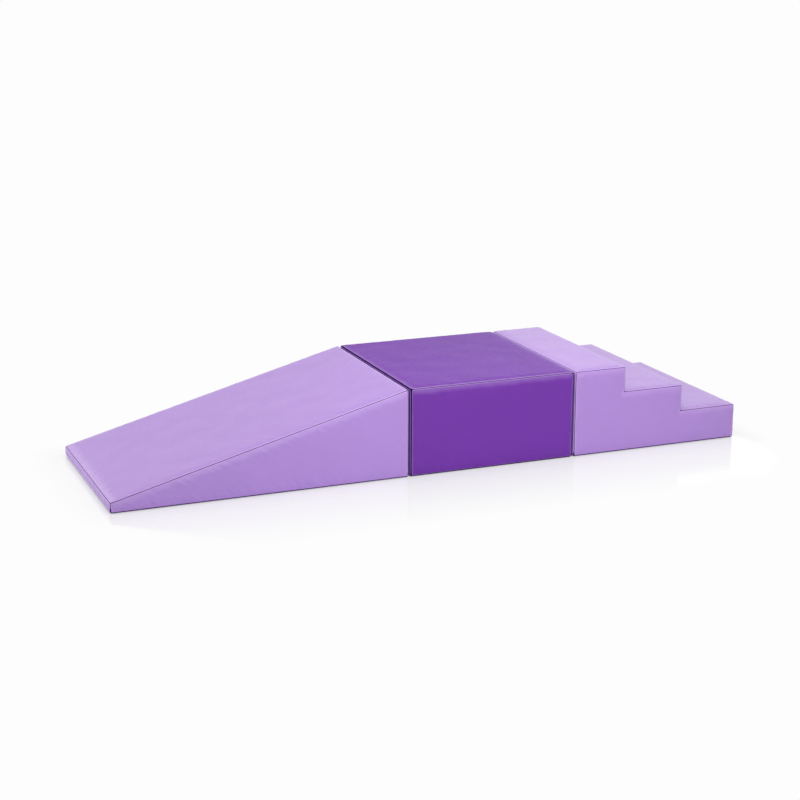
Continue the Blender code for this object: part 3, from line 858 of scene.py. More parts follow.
def cover_panel(module, panel, chart, place, outline, size, seed, spacing=FINE, crown=CROWN,
                pucker=PUCKER, swell=True, marks=(), wear_and_highlight_by_edge=None, window=None, fold=None,
                flip=False, area=None):
    """Build a panel of a cover from its chart, and put it in place of its plain solid."""
    label = f"{module}_{panel}"
    grid = grid_over(outline, size, spacing, marks)
    s, t = chart(grid.a, grid.b, 0.0)
    corners = [tuple(float(v) for v in chart(np.array(p), np.array(q), 0.0)) for p, q in outline]
    height, gaps = relief(s, t, corners, size, crown, pucker, seed)
    if swell:
        wave = swells(label, chart, outline, size, seed)(grid.a, grid.b)
        height += wave * np.clip(gaps.min(axis=0) / SWELL_RISE, 0, 1)
    if window:
        height = calm_near(window, s + profiles[module][0][0], t, height)
    if fold:
        hollow = np.sin(np.clip(np.abs(s - fold) / FOLD_REACH, 0, 1) * math.pi / 2)
        height = np.maximum(height, 0) * (FOLD_SHARE + (1 - FOLD_SHARE) * hollow)
    points = [place(s, t, height)]
    for depth in RING_DEPTHS:
        ring_s, ring_t = chart(grid.a[grid.rim], grid.b[grid.rim], depth)
        fade = max(0.0, 1 - depth / ROLL)
        points.append(place(ring_s, ring_t, height[grid.rim] * fade - depth))
    quads = ordered_faces(grid, flip)
    mesh = bpy.data.meshes.new(label)
    mesh.from_pydata(np.concatenate(points).tolist(), [], quads)
    mesh.shade_smooth()
    mesh.set_sharp_from_angle(angle=SHARP_TURN)
    nearness = wear_and_painted_light_of(
        label, s, t, gaps, wear_and_highlight_by_edge or [EVEN_WEAR_AND_HIGHLIGHT] * len(gaps), points[0][grid.rim], seed
    )
    mesh.attributes.new("seam_nearness", "FLOAT", "POINT").data.foreach_set("value", nearness)
    if window:
        cut_window(mesh, window)
    mesh.materials.append(LEATHERETTE[TONE[module]])
    cover = in_scene(f"{label}_cover", mesh)
    thickened(cover, CLOTH).use_even_offset = True
    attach(cover, module)
    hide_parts(f"{module}_{panel}")
    allowance = 2 * (SEAM_DEPTH - seam_inset(0.0, SQUARE))
    flat = (size[0] + allowance, size[1] + allowance)
    area or flat[0] * flat[1]
    print(cover.name, len(quads), "faces")


# %% [markdown]
# ## The window for the zip
# The far side of each cover has a long narrow window with the zip behind it. The window's four
# lines are cut through the panel's cells, and then the cells inside them are taken out. A cut
# with planes is fast, and it leaves the cloth around the window as smooth as it was.

# %% Cut the window
WINDOW_HEIGHT = 0.012
WINDOW_END_ROOM = 0.006
CALM_REACH = 0.025
CALM_START = 0.25
# Only cells close to the window are cut, and only those of the outer face, not of the rings.
CUT_ROOM = 0.02
SKIN = 0.0002


def window_of(module):
    """The window's low and high corner in X and Z, from the zip's chain."""
    low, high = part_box(f"{module}_zip_chain")
    middle = (low.z + high.z) / 2
    return (
        (low.x - WINDOW_END_ROOM, middle - WINDOW_HEIGHT / 2),
        (high.x + WINDOW_END_ROOM, middle + WINDOW_HEIGHT / 2),
    )


def calm_near(window, x, z, height):
    """Lay the cloth flat round the window, where the tape behind holds it."""
    (left, bottom), (right_end, top) = window
    aside = np.maximum(np.maximum(left - x, x - right_end), 0)
    above = np.maximum(np.maximum(bottom - z, z - top), 0)
    share = np.clip(np.hypot(aside, above) / CALM_REACH - CALM_START, 0, 1)
    return FAR_CROWN + (height - FAR_CROWN) * share


def cells_in(sheet, window, room):
    """Cells of the outer face in the window, or within some room of it."""
    (left, bottom), (right_end, top) = window
    found = []
    for face in sheet.faces:
        x, y, z = face.calc_center_median()
        level = left - room < x < right_end + room and bottom - room < z < top + room
        if level and abs(y) > WIDTH / 2 - SKIN:
            found.append(face)
    return found


def cut_window(mesh, window):
    """Take a rectangle out of a side panel."""
    sheet = bmesh.new()
    sheet.from_mesh(mesh)
    low, high = window
    cuts = ((2, low[1]), (2, high[1]), (0, low[0]), (0, high[0]))
    for axis, place in cuts:
        near_cells = cells_in(sheet, window, CUT_ROOM)
        parts = set(near_cells)
        for face in near_cells:
            parts.update(face.edges)
            parts.update(face.verts)
        normal = Vector([float(k == axis) for k in range(3)])
        bmesh.ops.bisect_plane(sheet, geom=list(parts), plane_co=place * normal, plane_no=normal)
    gone = cells_in(sheet, window, 0.0)
    bmesh.ops.delete(sheet, geom=gone, context="FACES")
    sheet.to_mesh(mesh)
    sheet.free()
    print("window cut,", len(gone), "cells taken out")


# %% [markdown]
# ## The covers of the three modules
# Each edge of a profile gets a panel, but a tread and the riser behind it share one, and the two
# sides get one each. Panels that show are built fine and settle as cloth. The base and the faces
# between modules are pressed flat, so they are built coarser, without a crown.

# %% Panels that run along the profile
SHORTEST_SWELL = 0.1
FOLD_MARKS = (-1.0, -0.6, -0.2, 0.2, 0.6, 1.0)
PRESSED = {"spacing": COARSE, "crown": 0.0, "pucker": 0.0, "swell": False}


def strip_cover(module, panel, index, seed, shown=True, edge_wear_and_highlight=EVEN_WEAR_AND_HIGHLIGHT):
    """A panel over one edge of the module's profile."""
    profile = profiles[module]
    after = (index + 1) % len(profile)
    start, end = profile[index], profile[after]
    length = math.hypot(end[0] - start[0], end[1] - start[1])
    chart = four_sided_chart(length, half_angle(profile, index), half_angle(profile, after))
    cover_panel(
        module, panel, chart, flat_place(start, end, FAR), UNIT, (length, WIDTH), seed,
        wear_and_highlight_by_edge=[EVEN_WEAR_AND_HIGHLIGHT, edge_wear_and_highlight, EVEN_WEAR_AND_HIGHLIGHT, EVEN_WEAR_AND_HIGHLIGHT],
        **({"swell": length > SHORTEST_SWELL} if shown else PRESSED),
    )


def step_cover(panel, nose_index, seed):
    """A tread and the riser behind it, in one folded panel."""
    nose, corner, top = profiles["stairs"][nose_index:nose_index + 3]
    tread = nose[0] - corner[0]
    length = tread + (top[1] - corner[1])
    inset = seam_inset(0.0, SQUARE)
    reach = length - 2 * inset
    cover_panel(
        "stairs", panel, four_sided_chart(length, SQUARE, SQUARE),
        folded_place(nose, corner, FAR), UNIT, (length, WIDTH), seed, fold=tread,
        marks=[(tread + STEP_FOLD * share - inset) / reach for share in FOLD_MARKS],
    )


strip_cover("ramp", "base_panel", 0, 11, shown=False)
strip_cover("ramp", "back_panel", 1, 12, shown=False)
# The slide's low end and the block's top beside the ramp get a wider pale band: wear and painted
# highlight.
strip_cover("ramp", "slide_panel", 2, 13, edge_wear_and_highlight=(1.8, 0.022))
strip_cover("ramp", "lip_panel", 3, 14)
strip_cover("block", "base_panel", 0, 21, shown=False)
strip_cover("block", "stairs_side_panel", 1, 22, shown=False)
strip_cover("block", "top_panel", 2, 23, edge_wear_and_highlight=(1.3, 0.012))
strip_cover("block", "ramp_side_panel", 3, 24, shown=False)
strip_cover("stairs", "base_panel", 0, 31, shown=False)
strip_cover("stairs", "front_riser_panel", 1, 32)
step_cover("lower_step_panel", 2, 33)
step_cover("middle_step_panel", 4, 34)
strip_cover("stairs", "top_tread_panel", 6, 35)
strip_cover("stairs", "back_panel", 7, 36, shown=False)

# %% Near and far sides
# Near a side's edges the cloth is painted paler: partly wear, partly a painted highlight.
TOP_WEAR_AND_HIGHLIGHT = (1.4, TOP_WEAR_AND_HIGHLIGHT_REACH)
FLOOR_WEAR_AND_HIGHLIGHT = (0.5, WEAR_AND_HIGHLIGHT_REACH)
END_WEAR_AND_HIGHLIGHT = (0.75, WEAR_AND_HIGHLIGHT_REACH)


def polygon_area(corners):
    """Area of an outline in a plane."""
    total = 0.0
    for (x0, z0), (x1, z1) in pairs_round(corners):
        total += x0 * z1 - x1 * z0
    return abs(total) / 2


def side_wear_and_highlight(outline):
    """Pale wear and painted highlight by each edge: most under the tops, least along the floor."""
    return [
        TOP_WEAR_AND_HIGHLIGHT if a1 < a0 else FLOOR_WEAR_AND_HIGHLIGHT if a1 > a0 else END_WEAR_AND_HIGHLIGHT
        for (a0, _), (a1, _) in pairs_round(outline)
    ]


def side_cover(module, panel, facing, chart, outline, seed):
    """The near or the far side of a module."""
    profile = profiles[module]
    left, right_end = profile[0][0], profile[1][0]
    place = side_place(left, facing, faces_of[module]["near"], FAR)
    behind = {"window": window_of(module), "crown": FAR_CROWN, "flip": True}
    cover_panel(
        module, panel, chart, place, outline, (right_end - left, FULL_HEIGHT), seed,
        area=polygon_area(profile), wear_and_highlight_by_edge=side_wear_and_highlight(outline),
        **(behind if facing > 0 else {}),
    )


stairs_left, stairs_right = profiles["stairs"][0][0], profiles["stairs"][1][0]
staircase = [
    ((x - stairs_left) / (stairs_right - stairs_left), z / FULL_HEIGHT)
    for x, z in profiles["stairs"]
]
SIDES = (
    ("ramp", tapered_chart, UNIT, 0),
    ("block", tapered_chart, UNIT, 10),
    ("stairs", staircase_chart, staircase, 20),
)
for facing, panel, seed in ((-1, "near_panel", 41), (1, "far_panel", 42)):
    for module, chart_of, outline, more in SIDES:
        side_cover(module, panel, facing, chart_of(profiles[module]), outline, seed + more)

# %% [markdown]
# ## The foam bodies
# Inside each cover stands one block of foam, with its edges cut back to make room for the seam
# allowances. Its shape is right as measured, so a copy of it is merged, and its sharp edges are
# eased, because a knife through foam never leaves a true edge.

# %% Ease the foam
FOAM_EASE = 0.0016
MERGE = 1e-5
FLAT_TURN = math.radians(1)
EDGE_TURN = math.radians(20)
FOAM_SHARP_TURN = math.radians(40)


def foam_body(module):
    """An eased foam body in place of the plain one."""
    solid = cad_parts[f"{module}_foam_core"]
    body = bmesh.new()
    body.from_mesh(solid.data)
    bmesh.ops.remove_doubles(body, verts=body.verts, dist=MERGE)
    bmesh.ops.dissolve_limit(body, angle_limit=FLAT_TURN, verts=body.verts, edges=body.edges)
    edges = [edge for edge in body.edges if edge.calc_face_angle(0.0) > EDGE_TURN]
    bmesh.ops.bevel(
        body, geom=edges, offset=FOAM_EASE, offset_type="OFFSET", segments=3, profile=0.5,
        affect="EDGES",
    )
    mesh = bpy.data.meshes.new(f"{module}_foam_body")
    body.to_mesh(mesh)
    body.free()
    mesh.shade_smooth()
    mesh.set_sharp_from_angle(angle=FOAM_SHARP_TURN)
    mesh.materials.append(cream_foam)
    foam = in_scene(f"{module}_foam_body", mesh)
    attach(foam, module)
    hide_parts(f"{module}_foam_core")
    print(foam.name, len(mesh.polygons), "faces")


for module in faces_of:
    foam_body(module)

# %% [markdown]
# ## Stitches
# A seam takes about two stitches to the centimetre. Thousands of them follow the edges, so they
# are grown by Geometry Nodes: the seam lines are resampled at the stitch pitch, and a small grain
# of thread is laid at each point, turned across its seam. The tree ends by realizing the grains
# and giving them their thread, because what it makes is kept as a plain mesh.

# %% A tree that lays thread along seam lines


def new_tree(name, labels):
    """A tree with geometry going in and out, labelled sizes and a finish, and its inputs."""
    tree = bpy.data.node_groups.new(name, "GeometryNodeTree")
    kinds = {"Geometry": "Geometry", **dict.fromkeys(labels, "Float"), "Finish": "Material"}
    for label, kind in kinds.items():
        tree.interface.new_socket(label, in_out="INPUT", socket_type="NodeSocket" + kind)
    tree.interface.new_socket("Geometry", in_out="OUTPUT", socket_type="NodeSocketGeometry")
    return tree, tree.nodes.new("NodeGroupInput").outputs


def turned_across(tree, first_turn=None):
    """A rotation whose own Z lies along the stored direction, after a first turn if given."""
    stored = add(tree, "GeometryNodeInputNamedAttribute", {"Name": "across"}, "Attribute",
                 data_type="FLOAT_VECTOR")
    inputs = {"Vector": stored, "Rotation": first_turn}
    return add(tree, "FunctionNodeAlignRotationToVector", inputs, axis="Z")


def lay_on_points(tree, given, points, grain, rotation, scale=None):
    """Lay a grain at each point, realize the grains, finish them, and send them out."""
    grains = add(tree, "GeometryNodeInstanceOnPoints", {
        "Points": points, "Instance": grain, "Rotation": rotation, "Scale": scale,
    })
    solid = add(tree, "GeometryNodeRealizeInstances", {0: grains})
    smooth = add(tree, "GeometryNodeSetShadeSmooth", {0: solid})
    finish = add(tree, "GeometryNodeSetMaterial", {0: smooth, "Material": given["Finish"]})
    tree.links.new(finish, tree.nodes.new("NodeGroupOutput").inputs[0])
    return tree


def lay_along_lines(tree, given, grain, labels):
    """Lay a grain at an even pitch along the lines of a mesh, as large as the labelled sizes."""
    line = add(tree, "GeometryNodeMeshToCurve", {"Mesh": given["Geometry"]})
    inputs = {"Curve": line, "Length": given["Pitch"]}
    spaced = add(tree, "GeometryNodeResampleCurve", inputs, mode="LENGTH")
    scale = {axis: given[label] for axis, label in zip("XYZ", labels)}
    size = add(tree, "ShaderNodeCombineXYZ", scale)
    return lay_on_points(tree, given, spaced, grain, turned_across(tree), size)


def thread_tree():
    """Grains of thread at an even pitch along every line of a mesh."""
    tree, given = new_tree("thread_along_lines", ("Pitch", "Thread", "Reach"))
    grain = add(tree, "GeometryNodeMeshIcoSphere", {"Radius": 1.0, "Subdivisions": 1})
    return lay_along_lines(tree, given, grain, ("Thread", "Thread", "Reach"))


def store_across(mesh, directions):
    """Store a direction at each point of a mesh."""
    stored = mesh.attributes.new("across", "FLOAT_VECTOR", "POINT")
    stored.data.foreach_set("vector", np.array(directions, float).ravel())


def line_mesh(name, lines):
    """A mesh of straight lines, each with a direction stored at its two ends."""
    points = [tuple(point) for line in lines for point in line[:2]]
    edges = [(2 * k, 2 * k + 1) for k in range(len(lines))]
    mesh = bpy.data.meshes.new(name)
    mesh.from_pydata(points, edges, [])
    store_across(mesh, [line[2] for line in lines for _ in range(2)])
    return mesh


def grown(name, mesh, tree, sizes, finish, module):
    """Run a tree over a mesh, keep the result as a plain mesh, and let it ride."""
    piece = in_scene(name, mesh)
    modifier = piece.modifiers.new("grow", "NODES")
    modifier.node_group = tree
    given = {**sizes, "Finish": finish}
    for socket in tree.interface.items_tree:
        if socket.in_out == "INPUT" and socket.name in given:
            modifier[socket.identifier] = given[socket.name]
    bpy.context.view_layer.update()
    graph = bpy.context.evaluated_depsgraph_get()
    plain = bpy.data.meshes.new_from_object(piece.evaluated_get(graph))
    piece.modifiers.remove(modifier)
    piece.data = plain
    plain.name = name
    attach(piece, module)
    print(name, len(plain.polygons), "faces")
    return piece


thread_lines = thread_tree()

# %% The seam lines of a module
STITCH_SIZES = {"Pitch": 0.0052, "Thread": 0.00034, "Reach": 0.0011}
STITCH_RISE = 0.0016
CORNER_ROOM = 0.0075
# A stitch crosses a side's crease at 45 degrees, so two parts of its way are this long.
SLANT = 0.7071


def seam_lines(module):
    """Every seam of a cover: where its stitches lie, and the way across it."""
    profile = profiles[module]
    near, far = faces_of[module]["near"], faces_of[module]["far"]
    step = (ROLL / math.tan(SQUARE / 2) - STITCH_RISE) * math.cos(SQUARE)
    lines = []
    for index, (start, end) in enumerate(pairs_round(profile)):
        start, end = np.array(start), np.array(end)
        way = (end - start) / np.linalg.norm(end - start)
        inward = np.array((-way[1], way[0]))
        for plane, side in ((near, 1), (far, -1)):
            first = start + inward * step + way * CORNER_ROOM
            last = end + inward * step - way * CORNER_ROOM
            y = plane + side * step
            lines.append((
                (first[0], y, first[1]), (last[0], y, last[1]),
                (inward[0] * SLANT, -side * SLANT, inward[1] * SLANT),
            ))
        half = half_angle(profile, index)
        if half < math.pi / 2:
            before = start - np.array(profile[index - 1])
            before = before / np.linalg.norm(before)
            bisector = (way - before) / np.linalg.norm(way - before)
            x, z = start + bisector * (ROLL / math.tan(half / 2) - STITCH_RISE)
            lines.append((
                (x, near + CORNER_ROOM, z), (x, far - CORNER_ROOM, z),
                (-bisector[1], 0.0, bisector[0]),
            ))
    return lines


for module, tone in TONE.items():
    mesh = line_mesh(f"{module}_seams", seam_lines(module))
    stitches = grown(
        f"{module}_stitches", mesh, thread_lines, STITCH_SIZES, thread[tone], module
    )

# %% [markdown]
# ## The zips
# Each cover closes with a nylon zip in its far side. Its tape is woven and lies behind the window,
# its teeth stand in two rows that mesh at the middle, and a line of topstitching holds the cloth
# round the window. Slider, pull and end stops are metal and keep their measured shapes.

# %% Woven tapes
TAPE_CELL = 0.0035
TAPE_ROWS = 24
TAPE_PLAY = 0.00013
TAPE_SINK = 0.00012
TAPE_CORD = 0.0042
TAPE_CORD_WIDTH = 0.0007


def zip_tape(module):
    """A woven tape with a cord along each side of the teeth."""
    low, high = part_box(f"{module}_zip_tape")
    columns = max(2, round((high.x - low.x) / TAPE_CELL))
    xs, zs = np.linspace(low.x, high.x, columns + 1), np.linspace(low.z, high.z, TAPE_ROWS + 1)
    x, z = (grid.ravel() for grid in np.meshgrid(xs, zs, indexing="ij"))
    off = np.abs(z - (low.z + high.z) / 2)
    sink = TAPE_SINK * (1 - np.exp(-((off - TAPE_CORD) / TAPE_CORD_WIDTH) ** 2))
    y = high.y - sink
    quads = []
    for column in range(columns):
        for row in range(TAPE_ROWS):
            k = column * (TAPE_ROWS + 1) + row
            quads.append((k, k + 1, k + TAPE_ROWS + 2, k + TAPE_ROWS + 1))
    mesh = bpy.data.meshes.new(f"{module}_zip_tape")
    mesh.from_pydata(np.column_stack((x, y, z)).tolist(), [], quads)
    mesh.shade_smooth()
    mesh.materials.append(webbing[TONE[module]])
    tape = in_scene(f"{module}_woven_tape", mesh)
    thickened(tape, high.y - low.y - TAPE_PLAY)
    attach(tape, module)
    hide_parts(f"{module}_zip_tape")
    print(tape.name, round(1000 * (high.x - low.x)), "mm long")


for module in TONE:
    zip_tape(module)

# %% Teeth in two rows
TOOTH_PITCH = 0.0024
TOOTH_WIDTH = 0.0012
TOOTH_REACH = 0.0033
CHAIN_END = 0.0008


def tooth_tree():
    """A neck and a round head at each point of the lines, turned along the stored way."""
    # The numbers here are shares of a tooth's width, depth and reach.
    tree, given = new_tree("zip_teeth", ("Pitch", "Width", "Depth", "Reach"))
    neck = add(tree, "GeometryNodeMeshCylinder", {"Vertices": 8, "Radius": 0.42, "Depth": 1.0})
    head = add(tree, "GeometryNodeMeshIcoSphere", {"Radius": 0.5, "Subdivisions": 1})
    lifted = add(tree, "GeometryNodeTransform", {
        "Geometry": head, "Translation": (0.0, 0.0, 0.36), "Scale": (1.7, 0.92, 0.42),
    })
    both = tree.nodes.new("GeometryNodeJoinGeometry")
    for part in (neck, lifted):
        tree.links.new(part, both.inputs["Geometry"])
    return lay_along_lines(tree, given, both.outputs["Geometry"], ("Width", "Depth", "Reach"))


zip_tooth = tooth_tree()
for module, tone in TONE.items():
    low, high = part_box(f"{module}_zip_chain")
    middle = ((low.y + high.y) / 2, (low.z + high.z) / 2)
    first = low.x + CHAIN_END
    lines = []
    for side, start in ((-1, first), (1, first + TOOTH_PITCH / 2)):
        count = int((high.x - CHAIN_END - start) / TOOTH_PITCH)
        z = middle[1] - side * (high.z - middle[1] - TOOTH_REACH / 2)
        end = start + count * TOOTH_PITCH
        lines.append(((start, middle[0], z), (end, middle[0], z), (0.0, 0.0, side)))
    sizes = {
        "Pitch": TOOTH_PITCH, "Width": TOOTH_WIDTH, "Depth": high.y - low.y,
        "Reach": TOOTH_REACH,
    }
    mesh = line_mesh(f"{module}_tooth_rows", lines)
    teeth = grown(f"{module}_zip_teeth", mesh, zip_tooth, sizes, teeth_nylon[tone], module)
    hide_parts(f"{module}_zip_chain")

# %% Topstitching round the window
TOPSTITCH_ROOM = 0.0035
TOPSTITCH_LIFT = 0.00005
TOPSTITCH_SIZES = {"Pitch": 0.0042, "Thread": 0.00028, "Reach": 0.00145}
for module, tone in TONE.items():
    (left, bottom), (right_end, top) = window_of(module)
    left, right_end = left - TOPSTITCH_ROOM, right_end + TOPSTITCH_ROOM
    bottom, top = bottom - TOPSTITCH_ROOM, top + TOPSTITCH_ROOM
    y = faces_of[module]["far"] + FAR_CROWN + TOPSTITCH_LIFT
    corners = [(left, y, bottom), (right_end, y, bottom), (right_end, y, top), (left, y, top)]
    lines = [
        (start, end, (1, 0, 0) if start[2] == end[2] else (0, 0, 1))
        for start, end in pairs_round(corners)
    ]
    mesh = line_mesh(f"{module}_window_lines", lines)
    row = grown(
        f"{module}_topstitching", mesh, thread_lines, TOPSTITCH_SIZES, thread[tone], module
    )

# %% Metal of the zips
for module in TONE:
    for part in ("open_stop", "closed_stop", "slider", "pull"):
        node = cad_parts[f"{module}_zip_{part}"]
        node.material_slots[0].material = zip_metal
print("metal pieces:", 4 * len(TONE))

# %% [markdown]
# ## Hook and loop strips
# Strips on the faces between modules hold the row together: stiff nylon hooks on the ramp and the
# stairs, soft loops on the block. A strip is a thin woven backing with a pile. The pile could be a
# texture, but it is what shows when a module is pulled away, so a tree grows it: rows of roots,
# shaken a little with a fixed seed, and at each root one small hook or loop.

# %% A tree for the pile
SHAKE_SEED = 7
SPIN_SEED = 11
FULL_TURN = 6.28


def random_vector(tree, seed, low=None, high=None):
    """A random vector at each point, from 0 to 1 unless told otherwise."""
    inputs = {0: low, 1: high, "Seed": seed}
    return add(tree, "FunctionNodeRandomValue", inputs, data_type="FLOAT_VECTOR")


def pile_tree(name, start, bend, end):
    """Bent wires that stand on every vertex of a mesh, each turned at random."""
    tree, given = new_tree(name, ("Height", "Wire", "Scatter"))
    wire = add(tree, "GeometryNodeCurveQuadraticBezier", {
        "Resolution": 5, "Start": start, "Middle": bend, "End": end,
    })
    size = add(tree, "ShaderNodeCombineXYZ", dict.fromkeys("XYZ", given["Height"]))
    tall = add(tree, "GeometryNodeTransform", {"Geometry": wire, "Scale": size})
    inputs = {"Resolution": 3, "Radius": given["Wire"]}
    round_wire = add(tree, "GeometryNodeCurvePrimitiveCircle", inputs)
    inputs = {"Curve": tall, "Profile Curve": round_wire, "Fill Caps": True}
    tube = add(tree, "GeometryNodeCurveToMesh", inputs)
    # A root is shaken in the plane of the strip alone, by -1 to 1 times the scatter.
    inputs = {0: random_vector(tree, SHAKE_SEED), 1: (0.0, 2.0, 2.0), 2: (0.0, -1.0, -1.0)}
    centred = add(tree, "ShaderNodeVectorMath", inputs, operation="MULTIPLY_ADD")
    inputs = {0: centred, "Scale": given["Scatter"]}
    shaken = add(tree, "ShaderNodeVectorMath", inputs, operation="SCALE")
    inputs = {"Geometry": given["Geometry"], "Offset": shaken}
    roots = add(tree, "GeometryNodeSetPosition", inputs)
    turn = random_vector(tree, SPIN_SEED, (0.0, 0.0, 0.0), (0.0, 0.0, FULL_TURN))
    spun = add(tree, "FunctionNodeEulerToRotation", {"Euler": turn})
    return lay_on_points(tree, given, roots, tube, turned_across(tree, spun))


hook_pile = pile_tree("hook_pile", (0, 0, 0), (0.05, 0, 1.65), (0.55, 0, 0.45))
loop_pile = pile_tree("loop_pile", (-0.35, 0, 0), (0.0, 0, 2.0), (0.35, 0, 0))

# %% Backings and their pile
BACKING = 0.0010
CORNER_RADIUS = 0.004
CORNER_STEPS = 5
RIM_WIDTH = 0.0012
RIM_DROP = 0.0002
PILE_ROOM = 0.0004
PILE_WIRE = 0.00017
ROOT_DEPTH = 0.0003
ROOT_PITCH = 0.0045
EDGE_ROOM = 0.0030


def strip_backing(strip, module, low, high, facing):
    """A thin woven strip against the cover, its corners rounded."""
    outline = []
    for quarter, (y_side, z_side) in enumerate(((1, 1), (-1, 1), (-1, -1), (1, -1))):
        for step in range(CORNER_STEPS + 1):
            turn = quarter * math.pi / 2 + step * math.pi / (2 * CORNER_STEPS)
            y = y_side * ((high.y - low.y) / 2 - CORNER_RADIUS) + CORNER_RADIUS * math.cos(turn)
            z = z_side * ((high.z - low.z) / 2 - CORNER_RADIUS) + CORNER_RADIUS * math.sin(turn)
            outline.append((y + (low.y + high.y) / 2, z + (low.z + high.z) / 2))
    inner = low.x if facing > 0 else high.x
    body = bmesh.new()
    ring = [body.verts.new((inner + facing * BACKING, y, z)) for y, z in outline]
    face = body.faces.new(ring if facing > 0 else ring[::-1])
    bmesh.ops.inset_region(body, faces=[face], thickness=RIM_WIDTH, depth=-RIM_DROP)
    mesh = bpy.data.meshes.new(f"{strip}_backing")
    body.to_mesh(mesh)
    body.free()
    mesh.materials.append(webbing[TONE[module]])
    backing = in_scene(f"{strip}_backing", mesh)
    thickened(backing, BACKING - RIM_DROP)
    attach(backing, module)
    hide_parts(strip)
    return backing


def strip_pile(strip, module, low, high, facing, tree):
    """Rows of hooks or loops on a backing."""
    ys = np.arange(low.y + EDGE_ROOM, high.y - EDGE_ROOM, ROOT_PITCH)
    zs = np.arange(low.z + EDGE_ROOM, high.z - EDGE_ROOM, ROOT_PITCH)
    face = (low.x if facing > 0 else high.x) + facing * (BACKING - ROOT_DEPTH)
    roots = [(face, y, z) for y in ys for z in zs]
    mesh = bpy.data.meshes.new(f"{strip}_roots")
    mesh.from_pydata(roots, [], [])
    store_across(mesh, [(facing, 0, 0)] * len(roots))
    sizes = {"Height": high.x - low.x - BACKING, "Wire": PILE_WIRE, "Scatter": PILE_ROOM}
    standing = grown(f"{strip}_pile", mesh, tree, sizes, pile[TONE[module]], module)
    return standing


STRIPS = (
    ("ramp", "ramp_{}_hook_strip", 1, hook_pile, "ramp_back_panel_cover"),
    ("block", "block_ramp_side_{}_loop_strip", -1, loop_pile, "block_ramp_side_panel_cover"),
    ("block", "block_stairs_side_{}_loop_strip", 1, loop_pile, "block_stairs_side_panel_cover"),
    ("stairs", "stairs_{}_hook_strip", -1, hook_pile, "stairs_back_panel_cover"),
)
for module, pattern, facing, tree, carrier in STRIPS:
    for level in ("lower", "upper"):
        strip = pattern.format(level)
        low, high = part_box(strip)
        backing = strip_backing(strip, module, low, high, facing)
        standing = strip_pile(strip, module, low, high, facing, tree)

# %% [markdown]
# ## The studio
# The picture has a plain white ground and a soft light all round. The world is white to the camera
# and to reflections, and gives a gentle fill to everything else. Six large softboxes stand round
# the row: one overhead, one in front, one past each end, and two behind for the zips. The wider a
# box, the dimmer it is for the same light, so wide ones keep the pale treads from clipping.
#
# The floor is plain white, with two things that fade out within half a metre of the row: a share
# of real shade, which keeps the contact shadow, and a faint blurred reflection, which shows only
# at a slant, as on a satin floor, and stops short past the two ends. Where the floor is nearly
# shut in, under a rolled edge or in the gap between two modules, all of it is real shade, or the
# gaps would glow.

# %% World and lamps
GROUND_WHITE = 0.982
FILL = 0.335
WHITE = (1.0, 1.0, 1.0, 1.0)


def mixed_shaders(tree, share, first, second):
    """Mix two shaders by a share."""
    return add(tree, "ShaderNodeMixShader", {0: share, 1: first, 2: second})


world = bpy.data.worlds.new("studio")
bpy.context.scene.world = world
world.use_nodes = True
tree = world.node_tree
tree.nodes.clear()
rays = tree.nodes.new("ShaderNodeLightPath").outputs
seen = reckon(tree, "MAXIMUM", rays["Is Camera Ray"], rays["Is Glossy Ray"])
seen = reckon(tree, "MAXIMUM", seen, rays["Is Transmission Ray"])
fill = add(tree, "ShaderNodeBackground", {"Color": WHITE, "Strength": FILL})
ground = add(tree, "ShaderNodeBackground", {"Color": WHITE, "Strength": GROUND_WHITE})
around = mixed_shaders(tree, seen, fill, ground)
tree.links.new(around, tree.nodes.new("ShaderNodeOutputWorld").inputs["Surface"])


def soft_lamp(name, place, aim, size, watts):
    """A square softbox that points at a place."""
    lamp = bpy.data.lights.new(name, "AREA")
    lamp.shape = "SQUARE"
    lamp.size = size
    lamp.energy = watts
    holder = in_scene(name, lamp)
    holder.location = place
    holder.rotation_euler = (Vector(aim) - Vector(place)).to_track_quat("-Z", "Y").to_euler()


soft_lamp("overhead_softbox", (0.15, -0.5, 2.4), (0.1, 0.0, 0.2), size=1.6, watts=27)
soft_lamp("front_softbox", (0.15, -1.8, 1.0), (0.1, 0.0, 0.15), size=2.0, watts=14.6)
soft_lamp("left_softbox", (-3.4, 0.9, 1.5), (-0.4, 0.0, 0.2), size=2.4, watts=34.5)
soft_lamp("right_softbox", (3.4, 0.9, 1.6), (0.4, 0.0, 0.2), size=1.6, watts=13)
soft_lamp("back_left_softbox", (-2.4, 3.4, 2.4), (-0.2, 0.0, 0.2), size=1.8, watts=20)
soft_lamp("back_right_softbox", (3.0, 3.8, 1.7), (0.7, 0.0, 0.3), size=2.0, watts=5)
print("lamps:", len(bpy.data.lights))

# %% The floor
FLOOR_HALF = 30.0
FLOOR_DROP = 0.0005
SHADE_SHARE = 0.28
SHADE_REACH = 0.13
NOOK = 0.025
GLOSS_SHARE = 0.21
GLOSS_REACH = 0.45
GLOSS_END_FADE = 12.0


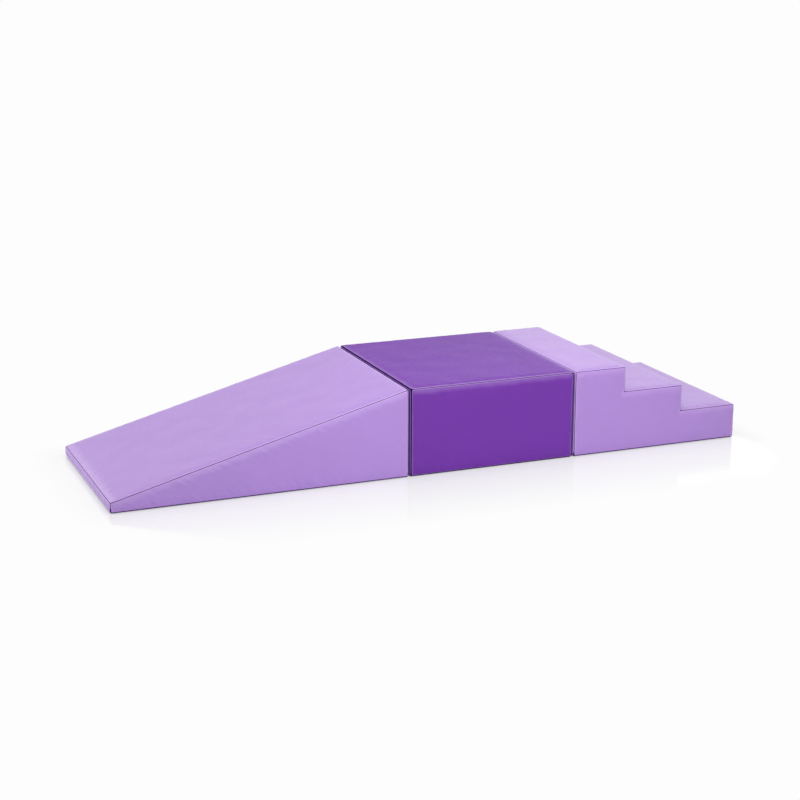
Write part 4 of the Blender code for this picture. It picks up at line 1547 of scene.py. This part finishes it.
def distance_from_row(tree, space, beyond_ends=1.0):
    """Distance on the floor from the rectangle under the row, stretched past its two ends."""
    apart = tree.nodes.new("ShaderNodeSeparateXYZ")
    tree.links.new(space, apart.inputs[0])
    past = {}
    half = ((cad_box[1].x - cad_box[0].x) / 2, WIDTH / 2)
    for axis, reach, stretch in zip("XY", half, (beyond_ends, 1.0)):
        size = reckon(tree, "ABSOLUTE", apart.outputs[axis])
        held = reckon(tree, "MAXIMUM", reckon(tree, "SUBTRACT", size, reach), 0.0)
        past[axis] = reckon(tree, "MULTIPLY", held, stretch)
    joined = add(tree, "ShaderNodeCombineXYZ", past)
    return add(tree, "ShaderNodeVectorMath", {0: joined}, "Value", operation="LENGTH")


def floor_finish():
    """White to the camera, with a share of real shade and a faint reflection beside the row."""
    material, tree, space = new_material("studio_floor")
    surfaced(material, {
        "Base Color": (0.93, 0.93, 0.94, 1.0), "Roughness": 0.9, "Specular IOR Level": 0.0,
    })
    shaded = tree.nodes["Principled BSDF"].outputs["BSDF"]
    plain = add(tree, "ShaderNodeEmission", {"Color": WHITE, "Strength": GROUND_WHITE})
    gloss = add(tree, "ShaderNodeBsdfGlossy", {"Color": WHITE, "Roughness": 0.10})
    rays = tree.nodes.new("ShaderNodeLightPath").outputs
    seen = reckon(tree, "MAXIMUM", rays["Is Camera Ray"], rays["Is Glossy Ray"])
    gap = distance_from_row(tree, space)
    beside = span(tree, gap, 0.0, SHADE_REACH, 1 - SHADE_SHARE, 1.0)
    sky = add(tree, "ShaderNodeAmbientOcclusion", {"Distance": NOOK}, "AO", samples=8)
    bare = reckon(tree, "MULTIPLY", beside, span(tree, sky, 0.05, 0.45))
    whitened = mixed_shaders(tree, reckon(tree, "MULTIPLY", bare, seen), shaded, plain)
    ahead = distance_from_row(tree, space, GLOSS_END_FADE)
    mirror = span(tree, ahead, 0.0, GLOSS_REACH, GLOSS_SHARE, 0.0)
    aslant = span(tree, add(tree, "ShaderNodeLayerWeight", out="Facing"), 0.25, 0.70)
    mirror = reckon(tree, "MULTIPLY", mirror, aslant)
    mirror = reckon(tree, "MULTIPLY", mirror, rays["Is Camera Ray"])
    mirrored = mixed_shaders(tree, mirror, whitened, gloss)
    tree.links.new(mirrored, tree.nodes["Material Output"].inputs["Surface"])
    return material


floor_mesh = bpy.data.meshes.new("studio_floor")
floor_corners = [
    (x * FLOOR_HALF, y * FLOOR_HALF, -FLOOR_DROP) for x, y in ((-1, -1), (1, -1), (1, 1), (-1, 1))
]
floor_mesh.from_pydata(floor_corners, [], [(0, 1, 2, 3)])
floor_mesh.materials.append(floor_finish())
floor = in_scene("studio_floor", floor_mesh)
floor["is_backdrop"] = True
bpy.context.scene.view_settings.view_transform = "Standard"
print("floor is", 2 * FLOOR_HALF, "m wide")

# %% [markdown]
# ## Closing
# The dressed row has to be as large as the measured model, so both boxes are kept side by side,
# and the dressed size is printed.

# %% The dressed size
dressed_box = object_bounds()
sizes = {"cad": [list(corner) for corner in cad_box], "visual": [list(c) for c in dressed_box]}
print("dressed size in mm:", [round(1000 * v, 1) for v in dressed_box[1] - dressed_box[0]])
